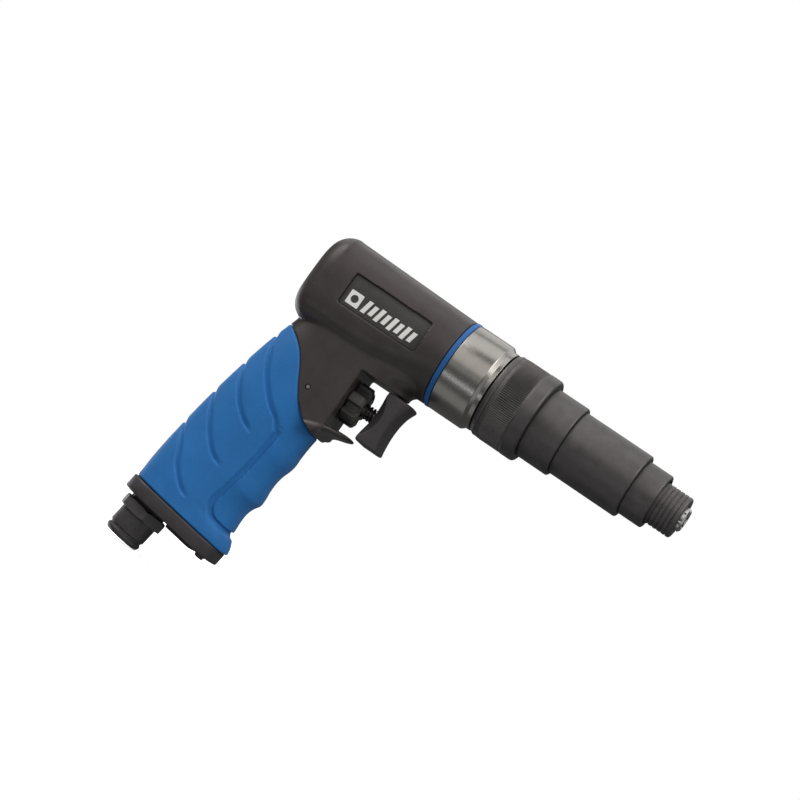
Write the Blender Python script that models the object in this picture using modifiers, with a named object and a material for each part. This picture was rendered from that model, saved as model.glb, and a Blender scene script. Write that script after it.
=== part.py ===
"""A pistol-grip pneumatic screwdriver: vane motor, two-stage planetary gearbox, adjustable slip
clutch and quick-change bit holder, modelled piece by piece in Blender.

Units are metres. The spindle runs along +X towards the nose, the grip points down and +Z is up.
Positions below are given in the tool frame, whose zero lies on the spindle axis at the joint
between motor housing and clutch housing. The empty called tool carries that frame, and places it
so that the world origin is the centre of the whole tool's bounding box.
"""

import math

import bmesh
import bpy

# ---------------------------------------------------------------- driving dimensions
GAP = 0.0003                     # clearance between touching pieces
RUNNING = 0.0002                 # radial clearance of turning pieces

BARREL_R = 0.0223                # motor housing at its front rim
BARREL_TOP = 0.0240              # the housing rises slightly towards the rear
HOUSING_REAR = -0.0790
HOUSING_FRONT = -0.0030
BARREL_BORE_R = 0.0186
REAR_BORE_X = -0.0715            # bottom of the motor bore

CLUTCH_HOUSING_R = 0.0223
CLUTCH_HOUSING_LENGTH = 0.0215
COLLAR_START, COLLAR_END, COLLAR_R = 0.0223, 0.0459, 0.0215
CASE_END, CASE_R = 0.0627, 0.0180
NOSE_SLEEVE_END, NOSE_SLEEVE_R = 0.0990, 0.0162
NOSE_CAP_END, NOSE_CAP_R = 0.1116, 0.0138
CHUCK_START, CHUCK_END, CHUCK_R = 0.1082, 0.1248, 0.0105
RIM_ROUNDING = 0.0010            # front edges of case, sleeve and cap
SPINDLE_TIP, SPINDLE_R = 0.1270, 0.0060
HEX_SOCKET_AF = 0.00650          # quarter-inch hexagon bit with running clearance
HEX_SOCKET_DEPTH = 0.0260

TRIGGER_Z = -0.0403              # axis of trigger stem, reverse dial and valve
HANDLE_FACE_X = -0.0320          # flat front face of the handle behind the trigger
DIAL_R, DIAL_FRONT = 0.0104, -0.0245
TRIGGER_HALF_WIDTH = 0.0110
STEM_R, STEM_CLEARANCE_R = 0.0023, 0.0026
SPOOL_R, SPOOL_NECK_R, SPOOL_BORE_R = 0.0070, 0.0040, 0.0025
SPOOL_END = -0.0594
PIN_X, PIN_Z = -0.0481, -0.0466      # cross pin that keeps the reverse spool in place
PIN_R, PIN_HALF_LENGTH = 0.00125, 0.0176
NOTCHES = 6                          # finger notches round the reverse dial

GRIP_X, GRIP_Z = -0.0664, -0.1275   # centre of the grip's bottom plane
GRIP_TILT = math.radians(8.0)       # the grip leans back
SLEEVE_WALL = 0.0026
BASE_REAR, BASE_FRONT = -0.0281, 0.0264
SCREW_X, SCREW_R, SCREW_HEAD_R = 0.0190, 0.0013, 0.0026   # screw that holds the base plate
BASE_HALF_WIDTH, BASE_THICKNESS = 0.0178, 0.0072
INLET_X = -0.0141                # inlet axis in the grip frame
INLET_R, INLET_HEX_AF, INLET_BORE_R = 0.0096, 0.0220, 0.0055
INLET_NECK_R, INLET_SOCKET_R = 0.0078, 0.0083
HEX_TOP, HEX_BOTTOM, INLET_END = -0.0092, -0.0144, -0.0272
HEX_TURN = math.radians(-9.5)    # how far the bushing happens to be turned
EXHAUST_R, EXHAUST_X, EXHAUST_Y = 0.0024, 0.0030, 0.0107
SEAM_CUT_FRONT, SEAM_CUT_REAR, SEAM_CUT_BOTTOM = 0.0, -0.1200, -0.1600

GEAR_MODULE = 0.0008
SUN_TEETH, PLANET_TEETH, RING_TEETH = 12, 15, 42
PLANETS = 3
PRESSURE_ANGLE = math.radians(20.0)
STAGE_1_X, STAGE_2_X = 0.0022, 0.0107   # rear faces of the two rows of planets
PLANET_WIDTH = 0.0058
ORBIT_R = GEAR_MODULE * (SUN_TEETH + PLANET_TEETH) / 2
PLANET_PIN_R = 0.0016
CARRIER_R = 0.0140
STAGE_1_CARRIER, STAGE_2_CARRIER = (0.0083, 0.0103), (0.0168, 0.0192)
SHAFT_R, SHAFT_COLLAR_R, SHAFT_END = 0.0050, 0.0068, 0.0795

ROTOR_R, ROTOR_ECCENTRICITY = 0.0130, 0.0012
CYLINDER_BORE_R = ROTOR_R + ROTOR_ECCENTRICITY + RUNNING
CYLINDER_REAR, CYLINDER_FRONT, CYLINDER_R = -0.0590, -0.0175, 0.0182
REAR_JOURNAL_R, FRONT_JOURNAL_R, PINION_ROOT_R = 0.0038, 0.0055, 0.0034
VANES, VANE_DEPTH, VANE_HALF_THICKNESS = 5, 0.0066, 0.0010

LUGS = 3                            # lugs of the adjusting nut, which slide in the case's slots
NUT_REAR, NUT_FRONT = 0.0304, 0.0340
ADJUST_TRAVEL = 0.0045
JAWS, JAW_SPACE_HALF = 3, math.radians(32)
CAM_R = 0.0115
NOSE_BORE_R, CAP_BORE_R = 0.0125, 0.0100
BALL_X, BALL_R, BALL_HOLE_R = 0.1168, 0.00115, 0.0014

TOOL_REAR, TOOL_BOTTOM = -0.0952, -0.1537   # where base plate and inlet bushing end
WORLD_X = -(SPINDLE_TIP + TOOL_REAR) / 2
WORLD_Z = -(BARREL_TOP + TOOL_BOTTOM) / 2

FINE, MEDIUM, COARSE = 36, 24, 16   # facets round a turned piece


# ---------------------------------------------------------------- scene and materials
def clear_scene():
    for obj in list(bpy.data.objects):
        bpy.data.objects.remove(obj, do_unlink=True)


def make_collection(name):
    made = bpy.data.collections.new(name)
    bpy.context.scene.collection.children.link(made)
    return made


def make_material(name, color, roughness, metallic=0.0):
    made = bpy.data.materials.new(name)
    made.use_nodes = True
    shader = made.node_tree.nodes["Principled BSDF"]
    shader.inputs["Base Color"].default_value = (*color, 1.0)
    shader.inputs["Roughness"].default_value = roughness
    shader.inputs["Metallic"].default_value = metallic
    made.diffuse_color = (*color, 1.0)
    return made


clear_scene()
PIECES = make_collection("pneumatic_screwdriver")
CUTTERS = make_collection("cutters")
BLACK_COAT = make_material("black_coat", (0.030, 0.028, 0.028), 0.42)
BLUE_RUBBER = make_material("blue_rubber", (0.022, 0.125, 0.350), 0.60)
BLACK_OXIDE = make_material("black_oxide", (0.040, 0.040, 0.042), 0.38, 0.9)
SATIN_STEEL = make_material("satin_steel", (0.42, 0.41, 0.39), 0.30, 1.0)
BRIGHT_STEEL = make_material("bright_steel", (0.62, 0.61, 0.60), 0.22, 1.0)
BLACK_PLASTIC = make_material("black_plastic", (0.035, 0.033, 0.036), 0.50)
PLATE_GREY = make_material("plate_grey", (0.045, 0.044, 0.042), 0.35)
SEAL_RUBBER = make_material("seal_rubber", (0.015, 0.015, 0.015), 0.75)
FELT = make_material("felt", (0.30, 0.29, 0.27), 0.95)
COMPOSITE = make_material("composite", (0.25, 0.16, 0.08), 0.60)
BRONZE = make_material("bronze", (0.50, 0.32, 0.14), 0.40, 1.0)


def make_frame(name, parent, location, tilt=0.0):
    frame = bpy.data.objects.new(name, None)
    frame.empty_display_size = 0.01
    PIECES.objects.link(frame)
    frame.parent = parent
    frame.location = location
    frame.rotation_euler = (0.0, tilt, 0.0)
    return frame


TOOL = make_frame("tool", None, (WORLD_X, 0.0, WORLD_Z))
GRIP = make_frame("grip_frame", TOOL, (GRIP_X, 0.0, GRIP_Z), GRIP_TILT)
TRIGGER_AXIS = make_frame("trigger_axis", TOOL, (0.0, 0.0, TRIGGER_Z))
ALONG_X = (0.0, math.pi / 2, 0.0)   # turns a piece made along local Z to lie along X


# ---------------------------------------------------------------- modelling helpers
def place(obj, parent, location, rotation, material):
    """Links an object as a piece, or as a cutter where it has no material."""
    (PIECES if material else CUTTERS).objects.link(obj)
    obj.parent = parent
    obj.location = location
    obj.rotation_euler = rotation
    if material:
        obj.data.materials.append(material)
    else:
        obj.hide_render = True
        obj.display_type = "WIRE"
    return obj


def signed_area(points):
    pairs = zip(points, points[1:] + points[:1])
    return sum(a[0] * b[1] - b[0] * a[1] for a, b in pairs) / 2


def turned(name, outline, material, parent=TOOL, location=(0, 0, 0), rotation=ALONG_X, facets=MEDIUM):
    """A turned piece. The outline is a list of (station along the axis, radius); it closes on
    itself round a bore, or starts and ends at radius zero."""
    points = [(radius, station) for station, radius in outline]
    if signed_area(points) > 0:
        points.reverse()
    solid_core = any(radius == 0 for radius, _ in points)
    if solid_core:
        while not (points[0][0] == 0 and points[-1][0] == 0):
            points = points[1:] + points[:1]
    mesh = bpy.data.meshes.new(name)
    count = len(points)
    edges = [(i, i + 1) for i in range(count - 1)]
    if not solid_core:
        edges.append((count - 1, 0))
    mesh.from_pydata([(radius, 0.0, station) for radius, station in points], edges, [])
    obj = place(bpy.data.objects.new(name, mesh), parent, location, rotation, material)
    screw = obj.modifiers.new("turn", "SCREW")
    screw.axis = "Z"
    screw.angle = 2 * math.pi
    screw.steps = facets
    screw.render_steps = facets
    screw.use_merge_vertices = True
    screw.merge_threshold = 0.00001
    screw.use_smooth_shade = False
    return obj


def tube(start, end, inner, outer, chamfer=0.0):
    """Outline of a plain ring, its outer edges chamfered."""
    if not chamfer:
        return [(start, inner), (start, outer), (end, outer), (end, inner)]
    return [(start, inner), (start, outer - chamfer), (start + chamfer, outer),
            (end - chamfer, outer), (end, outer - chamfer), (end, inner)]


def front_edge(end, radius, rounding):
    """The front end of an outline, its outer edge rounded off in two steps."""
    middle = 0.3 * rounding
    return [(end - rounding, radius), (end - middle, radius - middle), (end, radius - rounding)]


def rod(start, end, radius, chamfer=0.0):
    """Outline of a plain pin."""
    if not chamfer:
        return [(start, 0), (start, radius), (end, radius), (end, 0)]
    return [(start, 0), (start, radius - chamfer), (start + chamfer, radius),
            (end - chamfer, radius), (end, radius - chamfer), (end, 0)]


def flat(name, loops, thickness, material, parent=TOOL, location=(0, 0, 0), rotation=(0, 0, 0)):
    """A flat outline with holes, as thick as told, centred on its own plane."""
    curve = bpy.data.curves.new(name, "CURVE")
    curve.dimensions = "2D"
    curve.fill_mode = "BOTH"
    curve.extrude = thickness / 2
    for loop in loops:
        spline = curve.splines.new("POLY")
        spline.points.add(len(loop) - 1)
        for point, (x, y) in zip(spline.points, loop):
            point.co = (x, y, 0.0, 1.0)
        spline.use_cyclic_u = True
    return place(bpy.data.objects.new(name, curve), parent, location, rotation, material)


def as_mesh(obj):
    """The same piece as a welded mesh, which Booleans and Bevels need."""
    bpy.context.view_layer.update()
    graph = bpy.context.evaluated_depsgraph_get()
    mesh = bpy.data.meshes.new_from_object(obj.evaluated_get(graph))
    shape = bmesh.new()
    shape.from_mesh(mesh)
    bmesh.ops.remove_doubles(shape, verts=shape.verts, dist=0.000002)
    bmesh.ops.recalc_face_normals(shape, faces=shape.faces)
    shape.to_mesh(mesh)
    shape.free()
    name, parent = obj.name, obj.parent
    location, rotation = obj.location.copy(), obj.rotation_euler.copy()
    material = obj.data.materials[0] if len(obj.data.materials) else None
    bpy.data.objects.remove(obj, do_unlink=True)
    mesh.materials.clear()
    return place(bpy.data.objects.new(name, mesh), parent, location, rotation, material)


def combine(target, other, operation):
    step = target.modifiers.new(other.name, "BOOLEAN")
    step.operation = operation
    step.solver = "EXACT"
    step.object = other
    return target


def cut(target, *cutters):
    for cutter in cutters:
        combine(target, cutter, "DIFFERENCE")
    return target


def join(target, *others):
    for other in others:
        combine(target, other, "UNION")
    return target


def box(name, low, high, material=None, parent=TOOL, bevel=0.0):
    mesh = bpy.data.meshes.new(name)
    shape = bmesh.new()
    bmesh.ops.create_cube(shape, size=1.0)
    for vertex in shape.verts:
        for k in range(3):
            vertex.co[k] = low[k] + (vertex.co[k] + 0.5) * (high[k] - low[k])
    shape.to_mesh(mesh)
    shape.free()
    obj = place(bpy.data.objects.new(name, mesh), parent, (0, 0, 0), (0, 0, 0), material)
    if bevel:
        add_bevel(obj, bevel)
    return obj


def add_bevel(obj, width, segments=1, angle=math.radians(40)):
    step = obj.modifiers.new("edges", "BEVEL")
    step.width = width
    step.segments = segments
    step.limit_method = "ANGLE"
    step.angle_limit = angle
    return obj


def loft(name, rings, material, parent=TOOL):
    """A closed body through rings of equally many points."""
    mesh = bpy.data.meshes.new(name)
    shape = bmesh.new()
    rows = [[shape.verts.new(point) for point in ring] for ring in rings]
    for lower, upper in zip(rows, rows[1:]):
        count = len(lower)
        for i in range(count):
            j = (i + 1) % count
            shape.faces.new((lower[i], lower[j], upper[j], upper[i]))
    shape.faces.new(rows[0])
    shape.faces.new(rows[-1])
    bmesh.ops.recalc_face_normals(shape, faces=shape.faces)
    shape.to_mesh(mesh)
    shape.free()
    return place(bpy.data.objects.new(name, mesh), parent, (0, 0, 0), (0, 0, 0), material)


def superellipse(half_a, half_b, power, count):
    """Points of a squared-off ellipse, anticlockwise."""
    points = []
    for i in range(count):
        t = 2 * math.pi * (i + 0.5) / count
        c, s = math.cos(t), math.sin(t)
        reach = (abs(c) ** power + abs(s) ** power) ** (-1 / power)
        points.append((half_a * reach * c, half_b * reach * s))
    return points


def circle(radius, count, center=(0.0, 0.0)):
    turn = 2 * math.pi / count
    return [(center[0] + radius * math.cos(i * turn), center[1] + radius * math.sin(i * turn))
            for i in range(count)]


def hexagon(across_flats):
    return circle(across_flats / math.sqrt(3), 6)


def rounded_rectangle(x0, x1, half_width, corner, steps=6):
    points = []
    for cx, cy, start in ((x1 - corner, half_width - corner, 0), (x0 + corner, half_width - corner, 90),
                          (x0 + corner, corner - half_width, 180), (x1 - corner, corner - half_width, 270)):
        for i in range(steps + 1):
            a = math.radians(start + 90 * i / steps)
            points.append((cx + corner * math.cos(a), cy + corner * math.sin(a)))
    return points


def interpolate(table, at):
    """Smooth value between the rows (station, value) of a table."""
    if at <= table[0][0]:
        return table[0][1]
    for (x0, y0), (x1, y1) in zip(table, table[1:]):
        if at <= x1:
            t = (at - x0) / (x1 - x0)
            return y0 + (y1 - y0) * t * t * (3 - 2 * t)
    return table[-1][1]


def coil(name, start, end, radius, wire, turns, parent, material=BRIGHT_STEEL, steps=11):
    """A compression spring along X."""
    curve = bpy.data.curves.new(name, "CURVE")
    curve.dimensions = "3D"
    curve.bevel_depth = wire / 2
    curve.bevel_resolution = 1
    curve.use_fill_caps = True
    spline = curve.splines.new("POLY")
    count = int(turns * steps) + 1
    spline.points.add(count - 1)
    for i, point in enumerate(spline.points):
        share = i / (count - 1)
        a = 2 * math.pi * turns * share
        x = start + wire / 2 + (end - start - wire) * share
        point.co = (x, radius * math.cos(a), radius * math.sin(a), 1.0)
    return place(bpy.data.objects.new(name, curve), parent, (0, 0, 0), (0, 0, 0), material)


# ---------------------------------------------------------------- gears
def involute(angle):
    return math.tan(angle) - angle


def gear_outline(teeth, addendum, dedendum, thinning, inner=False):
    """Outline of an involute gear with a tooth on +X. Thinning is taken off each tooth's
    thickness at the pitch circle. An inner outline is the opening of a ring gear: its points
    facing +X are then a space between two teeth."""
    pitch_r = GEAR_MODULE * teeth / 2
    base_r = pitch_r * math.cos(PRESSURE_ANGLE)
    low_r, high_r = pitch_r - dedendum, pitch_r + addendum
    half = math.pi / (2 * teeth) + (thinning if inner else -thinning) / (2 * pitch_r)

    def half_angle(radius):
        here = math.acos(min(1.0, base_r / radius))
        return half + involute(PRESSURE_ANGLE) - involute(here)

    side = [(low_r, half_angle(max(base_r, low_r)))]
    side += [(radius, half_angle(radius)) for radius in (pitch_r, high_r)]
    points = []
    for tooth in range(teeth):
        middle = 2 * math.pi * tooth / teeth
        for radius, angle in side:
            points.append((radius * math.cos(middle - angle), radius * math.sin(middle - angle)))
        for radius, angle in reversed(side):
            points.append((radius * math.cos(middle + angle), radius * math.sin(middle + angle)))
    return points


def spun(points, angle):
    c, s = math.cos(angle), math.sin(angle)
    return [(x * c - y * s, x * s + y * c) for x, y in points]


TOOTH_THINNING = 0.00008
SUN_OUTLINE = gear_outline(SUN_TEETH, 0.00070, 0.00095, TOOTH_THINNING)
PLANET_OUTLINE = gear_outline(PLANET_TEETH, 0.00070, 0.00095, TOOTH_THINNING)
RING_OUTLINE = gear_outline(RING_TEETH, 0.00095, 0.00070, TOOTH_THINNING, inner=True)


def planet_places():
    """(name suffix, orbit angle, own turning angle) of the planets in mesh with sun and ring."""
    for k in range(PLANETS):
        orbit = 2 * math.pi * k / PLANETS
        turn = orbit + math.pi + (math.pi + SUN_TEETH * orbit) / PLANET_TEETH
        yield str(k + 1), orbit, turn


def ring_turn():
    """Turning angle of the ring gear's opening, in mesh with the first planet: its spaces face
    the planet's teeth."""
    _, orbit, turn = next(planet_places())
    return orbit + PLANET_TEETH * (turn - orbit) / RING_TEETH


def across_axis(points):
    """A flat outline's own X and Y, turned by ALONG_X, lie along -Z and +Y: these points keep
    angles counted from +Y towards +Z about the spindle."""
    return [(-z, y) for y, z in points]


def in_orbit(orbit):
    return ORBIT_R * math.cos(orbit), ORBIT_R * math.sin(orbit)


# ---------------------------------------------------------------- motor housing and grip
def barrel_ring(x, inset):
    """One section of the barrel: round at the front, squarer at the rear."""
    share = (x - HOUSING_REAR) / (HOUSING_FRONT - HOUSING_REAR)
    top = BARREL_TOP + (BARREL_R - BARREL_TOP) * share - inset
    bottom = BARREL_R - inset
    half_width = BARREL_R - inset
    power = 2.9 - 0.9 * share
    middle, half_height = (top - bottom) / 2, (top + bottom) / 2
    return [(x, y, middle + z) for y, z in superellipse(half_width, half_height, power, 36)]


def make_barrel():
    corner, steps = 0.0098, 4
    rings = []
    for i in range(steps + 1):
        a = math.pi / 2 * i / steps
        inset = corner * (1 - math.sin(a))
        rings.append(barrel_ring(HOUSING_REAR + corner * (1 - math.cos(a)), inset))
    for share in (0.35, 0.7, 1.0):
        start = HOUSING_REAR + corner
        rings.append(barrel_ring(start + (HOUSING_FRONT - start) * share, 0.0))
    return loft("motor_housing", rings, BLACK_COAT)


GRIP_BACK = [(-0.001, -0.0275), (0.012, -0.0284), (0.031, -0.0286), (0.051, -0.0280),
             (0.070, -0.0266), (0.089, -0.0244), (0.103, -0.0218), (0.112, -0.0205)]
GRIP_FRONT = [(-0.001, 0.0270), (0.007, 0.0240), (0.0165, 0.0216), (0.0270, 0.0243),
              (0.0390, 0.0222), (0.0510, 0.0238), (0.0620, 0.0228), (0.0700, 0.0235), (0.112, 0.0240)]
GRIP_HALF_WIDTH = [(-0.001, 0.0175), (0.030, 0.0170), (0.080, 0.0178), (0.112, 0.0180)]
GRIP_TOP = 0.112
FLAT_FACE_FROM = 0.070
GRIP_LEVEL_STEP = 0.0085
GRIP_LEVELS = [GRIP_LEVEL_STEP * k for k in range(14)]


def grip_ring(z, inset, reach):
    """One section of the grip, its front half drawn out forwards by reach."""
    back = interpolate(GRIP_BACK, z) + inset
    front = interpolate(GRIP_FRONT, z) - inset
    half_width = interpolate(GRIP_HALF_WIDTH, z) - inset
    middle, half_depth = (back + front) / 2, (front - back) / 2
    stretch = (half_depth + reach) / half_depth
    return [(middle + x * (stretch if x > 0 else 1), y, z)
            for x, y in superellipse(half_depth, half_width, 2.7, 28)]


def grip_loft(name, bottom, top, inset, reach=0.0, material=None):
    """A piece of the grip. All such pieces share their levels, so that their facets line up.
    The reach applies above the sleeve, where the handle has a flat front face."""
    levels = [bottom] + [z for z in GRIP_LEVELS if bottom < z < top] + [top]
    rings = [grip_ring(z, inset, reach if z > FLAT_FACE_FROM else 0.0) for z in levels]
    return loft(name, rings, material, GRIP)


# the seam between rubber sleeve and housing, seen from the side, in the tool frame
SEAM = [(-0.0820, -0.0255), (-0.0715, -0.0272), (-0.0655, -0.0308), (-0.0605, -0.0354),
        (-0.0562, -0.0419), (-0.0524, -0.0484), (-0.0477, -0.0548), (-0.0439, -0.0585),
        (-0.0383, -0.0622), (-0.0250, -0.0660)]


def side_prism(name, points, half_width, material=None):
    """A shape drawn in the side view, as wide as told across Y."""
    made = flat(name, [points], 2 * half_width, material, rotation=(math.pi / 2, 0, 0))
    return as_mesh(made)


def below_seam(name, shift):
    """Everything under the seam, lowered by shift."""
    edge = [(x, z - shift) for x, z in SEAM]
    around = [(SEAM_CUT_FRONT, SEAM[-1][1]), (SEAM_CUT_FRONT, SEAM_CUT_BOTTOM),
              (SEAM_CUT_REAR, SEAM_CUT_BOTTOM), (SEAM_CUT_REAR, SEAM[0][1])]
    return side_prism(name, edge + around, 0.040)


def grip_rod(name, outline, x=0.0, y=0.0, material=None, facets=COARSE):
    """A turned piece or cutter that stands upright in the grip."""
    return turned(name, outline, material, GRIP, (x, y, 0), (0, 0, 0), facets)


def make_hood():
    """The bulge between barrel and handle, which rounds to a nose over the trigger."""
    side = [(-0.0400, 0.0178), (-0.0300, 0.0174), (-0.0220, 0.0145), (-0.0150, 0.0100),
            (-0.0105, 0.0055), (-0.0088, 0.0)]
    mirrored = [(x, -y) for x, y in reversed(side[:-1])]
    return as_mesh(flat("hood", [side + mirrored], 0.0164, None, location=(0, 0, -0.0182)))


def make_horn():
    """The small guard under the trigger, over the front end of the rubber sleeve."""
    outline = [(-0.0440, -0.0540), (-0.0230, -0.0541), (-0.0197, -0.0553), (-0.0230, -0.0570),
               (-0.0300, -0.0590), (-0.0345, -0.0640), (-0.0440, -0.0660)]
    horn = side_prism("horn", outline, 0.0085)
    return add_bevel(horn, 0.0008)


def drill_housing(housing):
    """The motor's bore, the valve's bore and the passages that lead air through the handle."""
    step_r, step_x = 0.0100, -0.0652
    motor_bore = [(REAR_BORE_X, 0), (REAR_BORE_X, step_r), (step_x, step_r), (step_x, BARREL_BORE_R),
                  (0.01, BARREL_BORE_R), (0.01, 0)]
    chamber_r, chamber_rear, chamber_front = 0.0065, -0.0752, -0.0600
    valve_bore = [(chamber_rear, 0), (chamber_rear, chamber_r), (chamber_front, chamber_r),
                  (chamber_front, SPOOL_R + RUNNING), (0.0, SPOOL_R + RUNNING), (0.0, 0)]
    cut(
        housing,
        turned("motor_bore", motor_bore, None, facets=FINE),
        turned("valve_bore", valve_bore, None, TRIGGER_AXIS, facets=COARSE),
        turned("feed_passage", rod(0.020, 0.036, 0.0030), None, location=(-0.0540, 0, -0.0500),
               rotation=(0, 0, 0), facets=12),
        grip_rod("air_passage", rod(-0.004, 0.0880, 0.0045), INLET_X),
        grip_rod("inlet_socket", rod(-0.004, 0.0122, INLET_SOCKET_R), INLET_X),
        turned("pin_hole", rod(-0.03, 0.03, PIN_R + GAP / 3), None, location=(PIN_X, 0, PIN_Z),
               rotation=(math.pi / 2, 0, 0), facets=12),
        box("plate_recess", (-0.0588, -0.030, -0.0069), (-0.0150, -0.0202, 0.0092)),
    )
    for side in (-1, 1):
        passage = rod(-0.004, 0.114, EXHAUST_R)
        cut(housing, grip_rod(f"exhaust_passage_{side}", passage, EXHAUST_X, side * EXHAUST_Y, facets=10))
    cut(housing, grip_rod("screw_hole", rod(-0.004, 0.0080, SCREW_R + GAP), SCREW_X, facets=10))


def make_motor_housing():
    """Barrel, hood, neck, guard and the core inside the rubber sleeve, in one casting."""
    housing = make_barrel()
    neck = grip_loft("neck", GRIP_LEVEL_STEP * 6, GRIP_TOP, 0.0, 0.030)
    sleeve_space = below_seam("sleeve_space", -GAP)
    cut(neck, sleeve_space)
    horn = make_horn()
    cut(horn, sleeve_space)
    core = grip_loft("core", 0.0, 0.102, SLEEVE_WALL + GAP)
    in_front = box("in_front", (HANDLE_FACE_X, -0.03, -0.08), (0.03, 0.03, 0.01))
    cut(neck, in_front)
    cut(core, in_front)
    join(housing, make_hood(), neck, core, horn)
    drill_housing(housing)


def make_grip_sleeve():
    sleeve = grip_loft("grip_sleeve", 0.0, 0.1105, 0.0, material=BLUE_RUBBER)
    combine(sleeve, below_seam("sleeve_limit", GAP), "INTERSECT")
    cut(sleeve, grip_loft("core_space", -0.004, 0.119, SLEEVE_WALL))


def make_nameplate():
    box("nameplate", (-0.0585, -0.0213, -0.0066), (-0.0153, -0.0205, 0.0089), PLATE_GREY, bevel=0.0003)


def grip_plate(name, loops, thickness, top, material=None):
    """A flat piece or cutter across the grip, its upper face at the height top."""
    return as_mesh(flat(name, loops, thickness, material, GRIP, (0, 0, top - thickness / 2)))


def make_base():
    """The plate that closes the handle, with its screw and the exhaust muffler behind a grille."""
    outline = rounded_rectangle(BASE_REAR, BASE_FRONT, BASE_HALF_WIDTH, 0.0135)
    base = grip_plate("handle_base", [outline], BASE_THICKNESS - GAP, -GAP, BLACK_PLASTIC)
    add_bevel(base, 0.0007)
    through = (-0.02, 0.01)
    cut(base, grip_rod("inlet_hole", rod(*through, INLET_SOCKET_R), INLET_X))
    pocket = rounded_rectangle(-0.0004, 0.0152, 0.0135, 0.003, 3)
    cut(base, grip_plate("muffler_pocket", [pocket], 0.012, -0.0040))
    for side in (-1, 1):
        hole = rod(*through, EXHAUST_R)
        cut(base, grip_rod(f"exhaust_hole_{side}", hole, EXHAUST_X, side * EXHAUST_Y, facets=10))
    cut(base, grip_rod("screw_way", rod(*through, SCREW_R + 0.0005), SCREW_X, facets=10))

    seat = -BASE_THICKNESS - GAP
    screw = [(seat - 0.0020, 0), (seat - 0.0020, 0.0020), (seat - 0.0012, SCREW_HEAD_R),
             (seat, SCREW_HEAD_R), (seat, SCREW_R), (0.0065, SCREW_R), (0.0065, 0)]
    grip_rod("base_screw", screw, SCREW_X, material=BLACK_OXIDE)
    felt = rounded_rectangle(-0.0001, 0.0149, 0.0132, 0.003, 3)
    grip_plate("exhaust_muffler", [felt], 0.0026, -0.0044, FELT)
    louvre_width, louvre_pitch = 0.0014, 0.0032
    louvres = []
    for k in range(4):
        x = 0.0022 + louvre_pitch * k
        louvres.append(rounded_rectangle(x, x + louvre_width, 0.0100, 0.0006, 1))
    grille = rounded_rectangle(0.0002, 0.0154, 0.0125, 0.0025, 3)
    grip_plate("exhaust_deflector", [grille] + louvres, 0.0012, seat, BLACK_PLASTIC)


def make_inlet():
    """The hexagon bushing that the air hose screws into, with its strainer and seal."""
    hexagon_at = (INLET_X, 0, (HEX_TOP + HEX_BOTTOM) / 2)
    bushing = as_mesh(flat("inlet_bushing", [hexagon(INLET_HEX_AF)], HEX_TOP - HEX_BOTTOM, BLACK_OXIDE,
                           GRIP, hexagon_at, (0, 0, HEX_TURN)))
    neck = rod(HEX_TOP - 0.001, 0.0115, INLET_NECK_R)
    groove_r, lip_r = INLET_R - 0.0006, INLET_R - 0.0001
    body = [(HEX_BOTTOM + 0.001, 0), (HEX_BOTTOM + 0.001, INLET_R), (-0.0236, INLET_R), (-0.0236, groove_r),
            (-0.0244, groove_r), (-0.0244, lip_r), (-0.0258, lip_r), (INLET_END, INLET_R - 0.0009),
            (INLET_END, 0)]
    bore = [(0.03, 0), (0.03, INLET_BORE_R), (-0.0130, INLET_BORE_R), (-0.0130, 0.0060), (-0.0250, 0.0060),
            (-0.0262, 0.0068), (-0.04, 0.0068), (-0.04, 0)]
    join(bushing, grip_rod("inlet_neck", neck, INLET_X))
    join(bushing, grip_rod("inlet_body", body, INLET_X, facets=MEDIUM))
    cut(bushing, grip_rod("inlet_bore", bore, INLET_X))
    grip_rod("inlet_screen", rod(-0.0100, -0.0092, INLET_BORE_R - GAP), INLET_X, material=BRIGHT_STEEL)
    seal = tube(-0.0089, -0.0074, INLET_NECK_R + GAP, 0.0098)
    grip_rod("inlet_seal", seal, INLET_X, material=SEAL_RUBBER)


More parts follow.
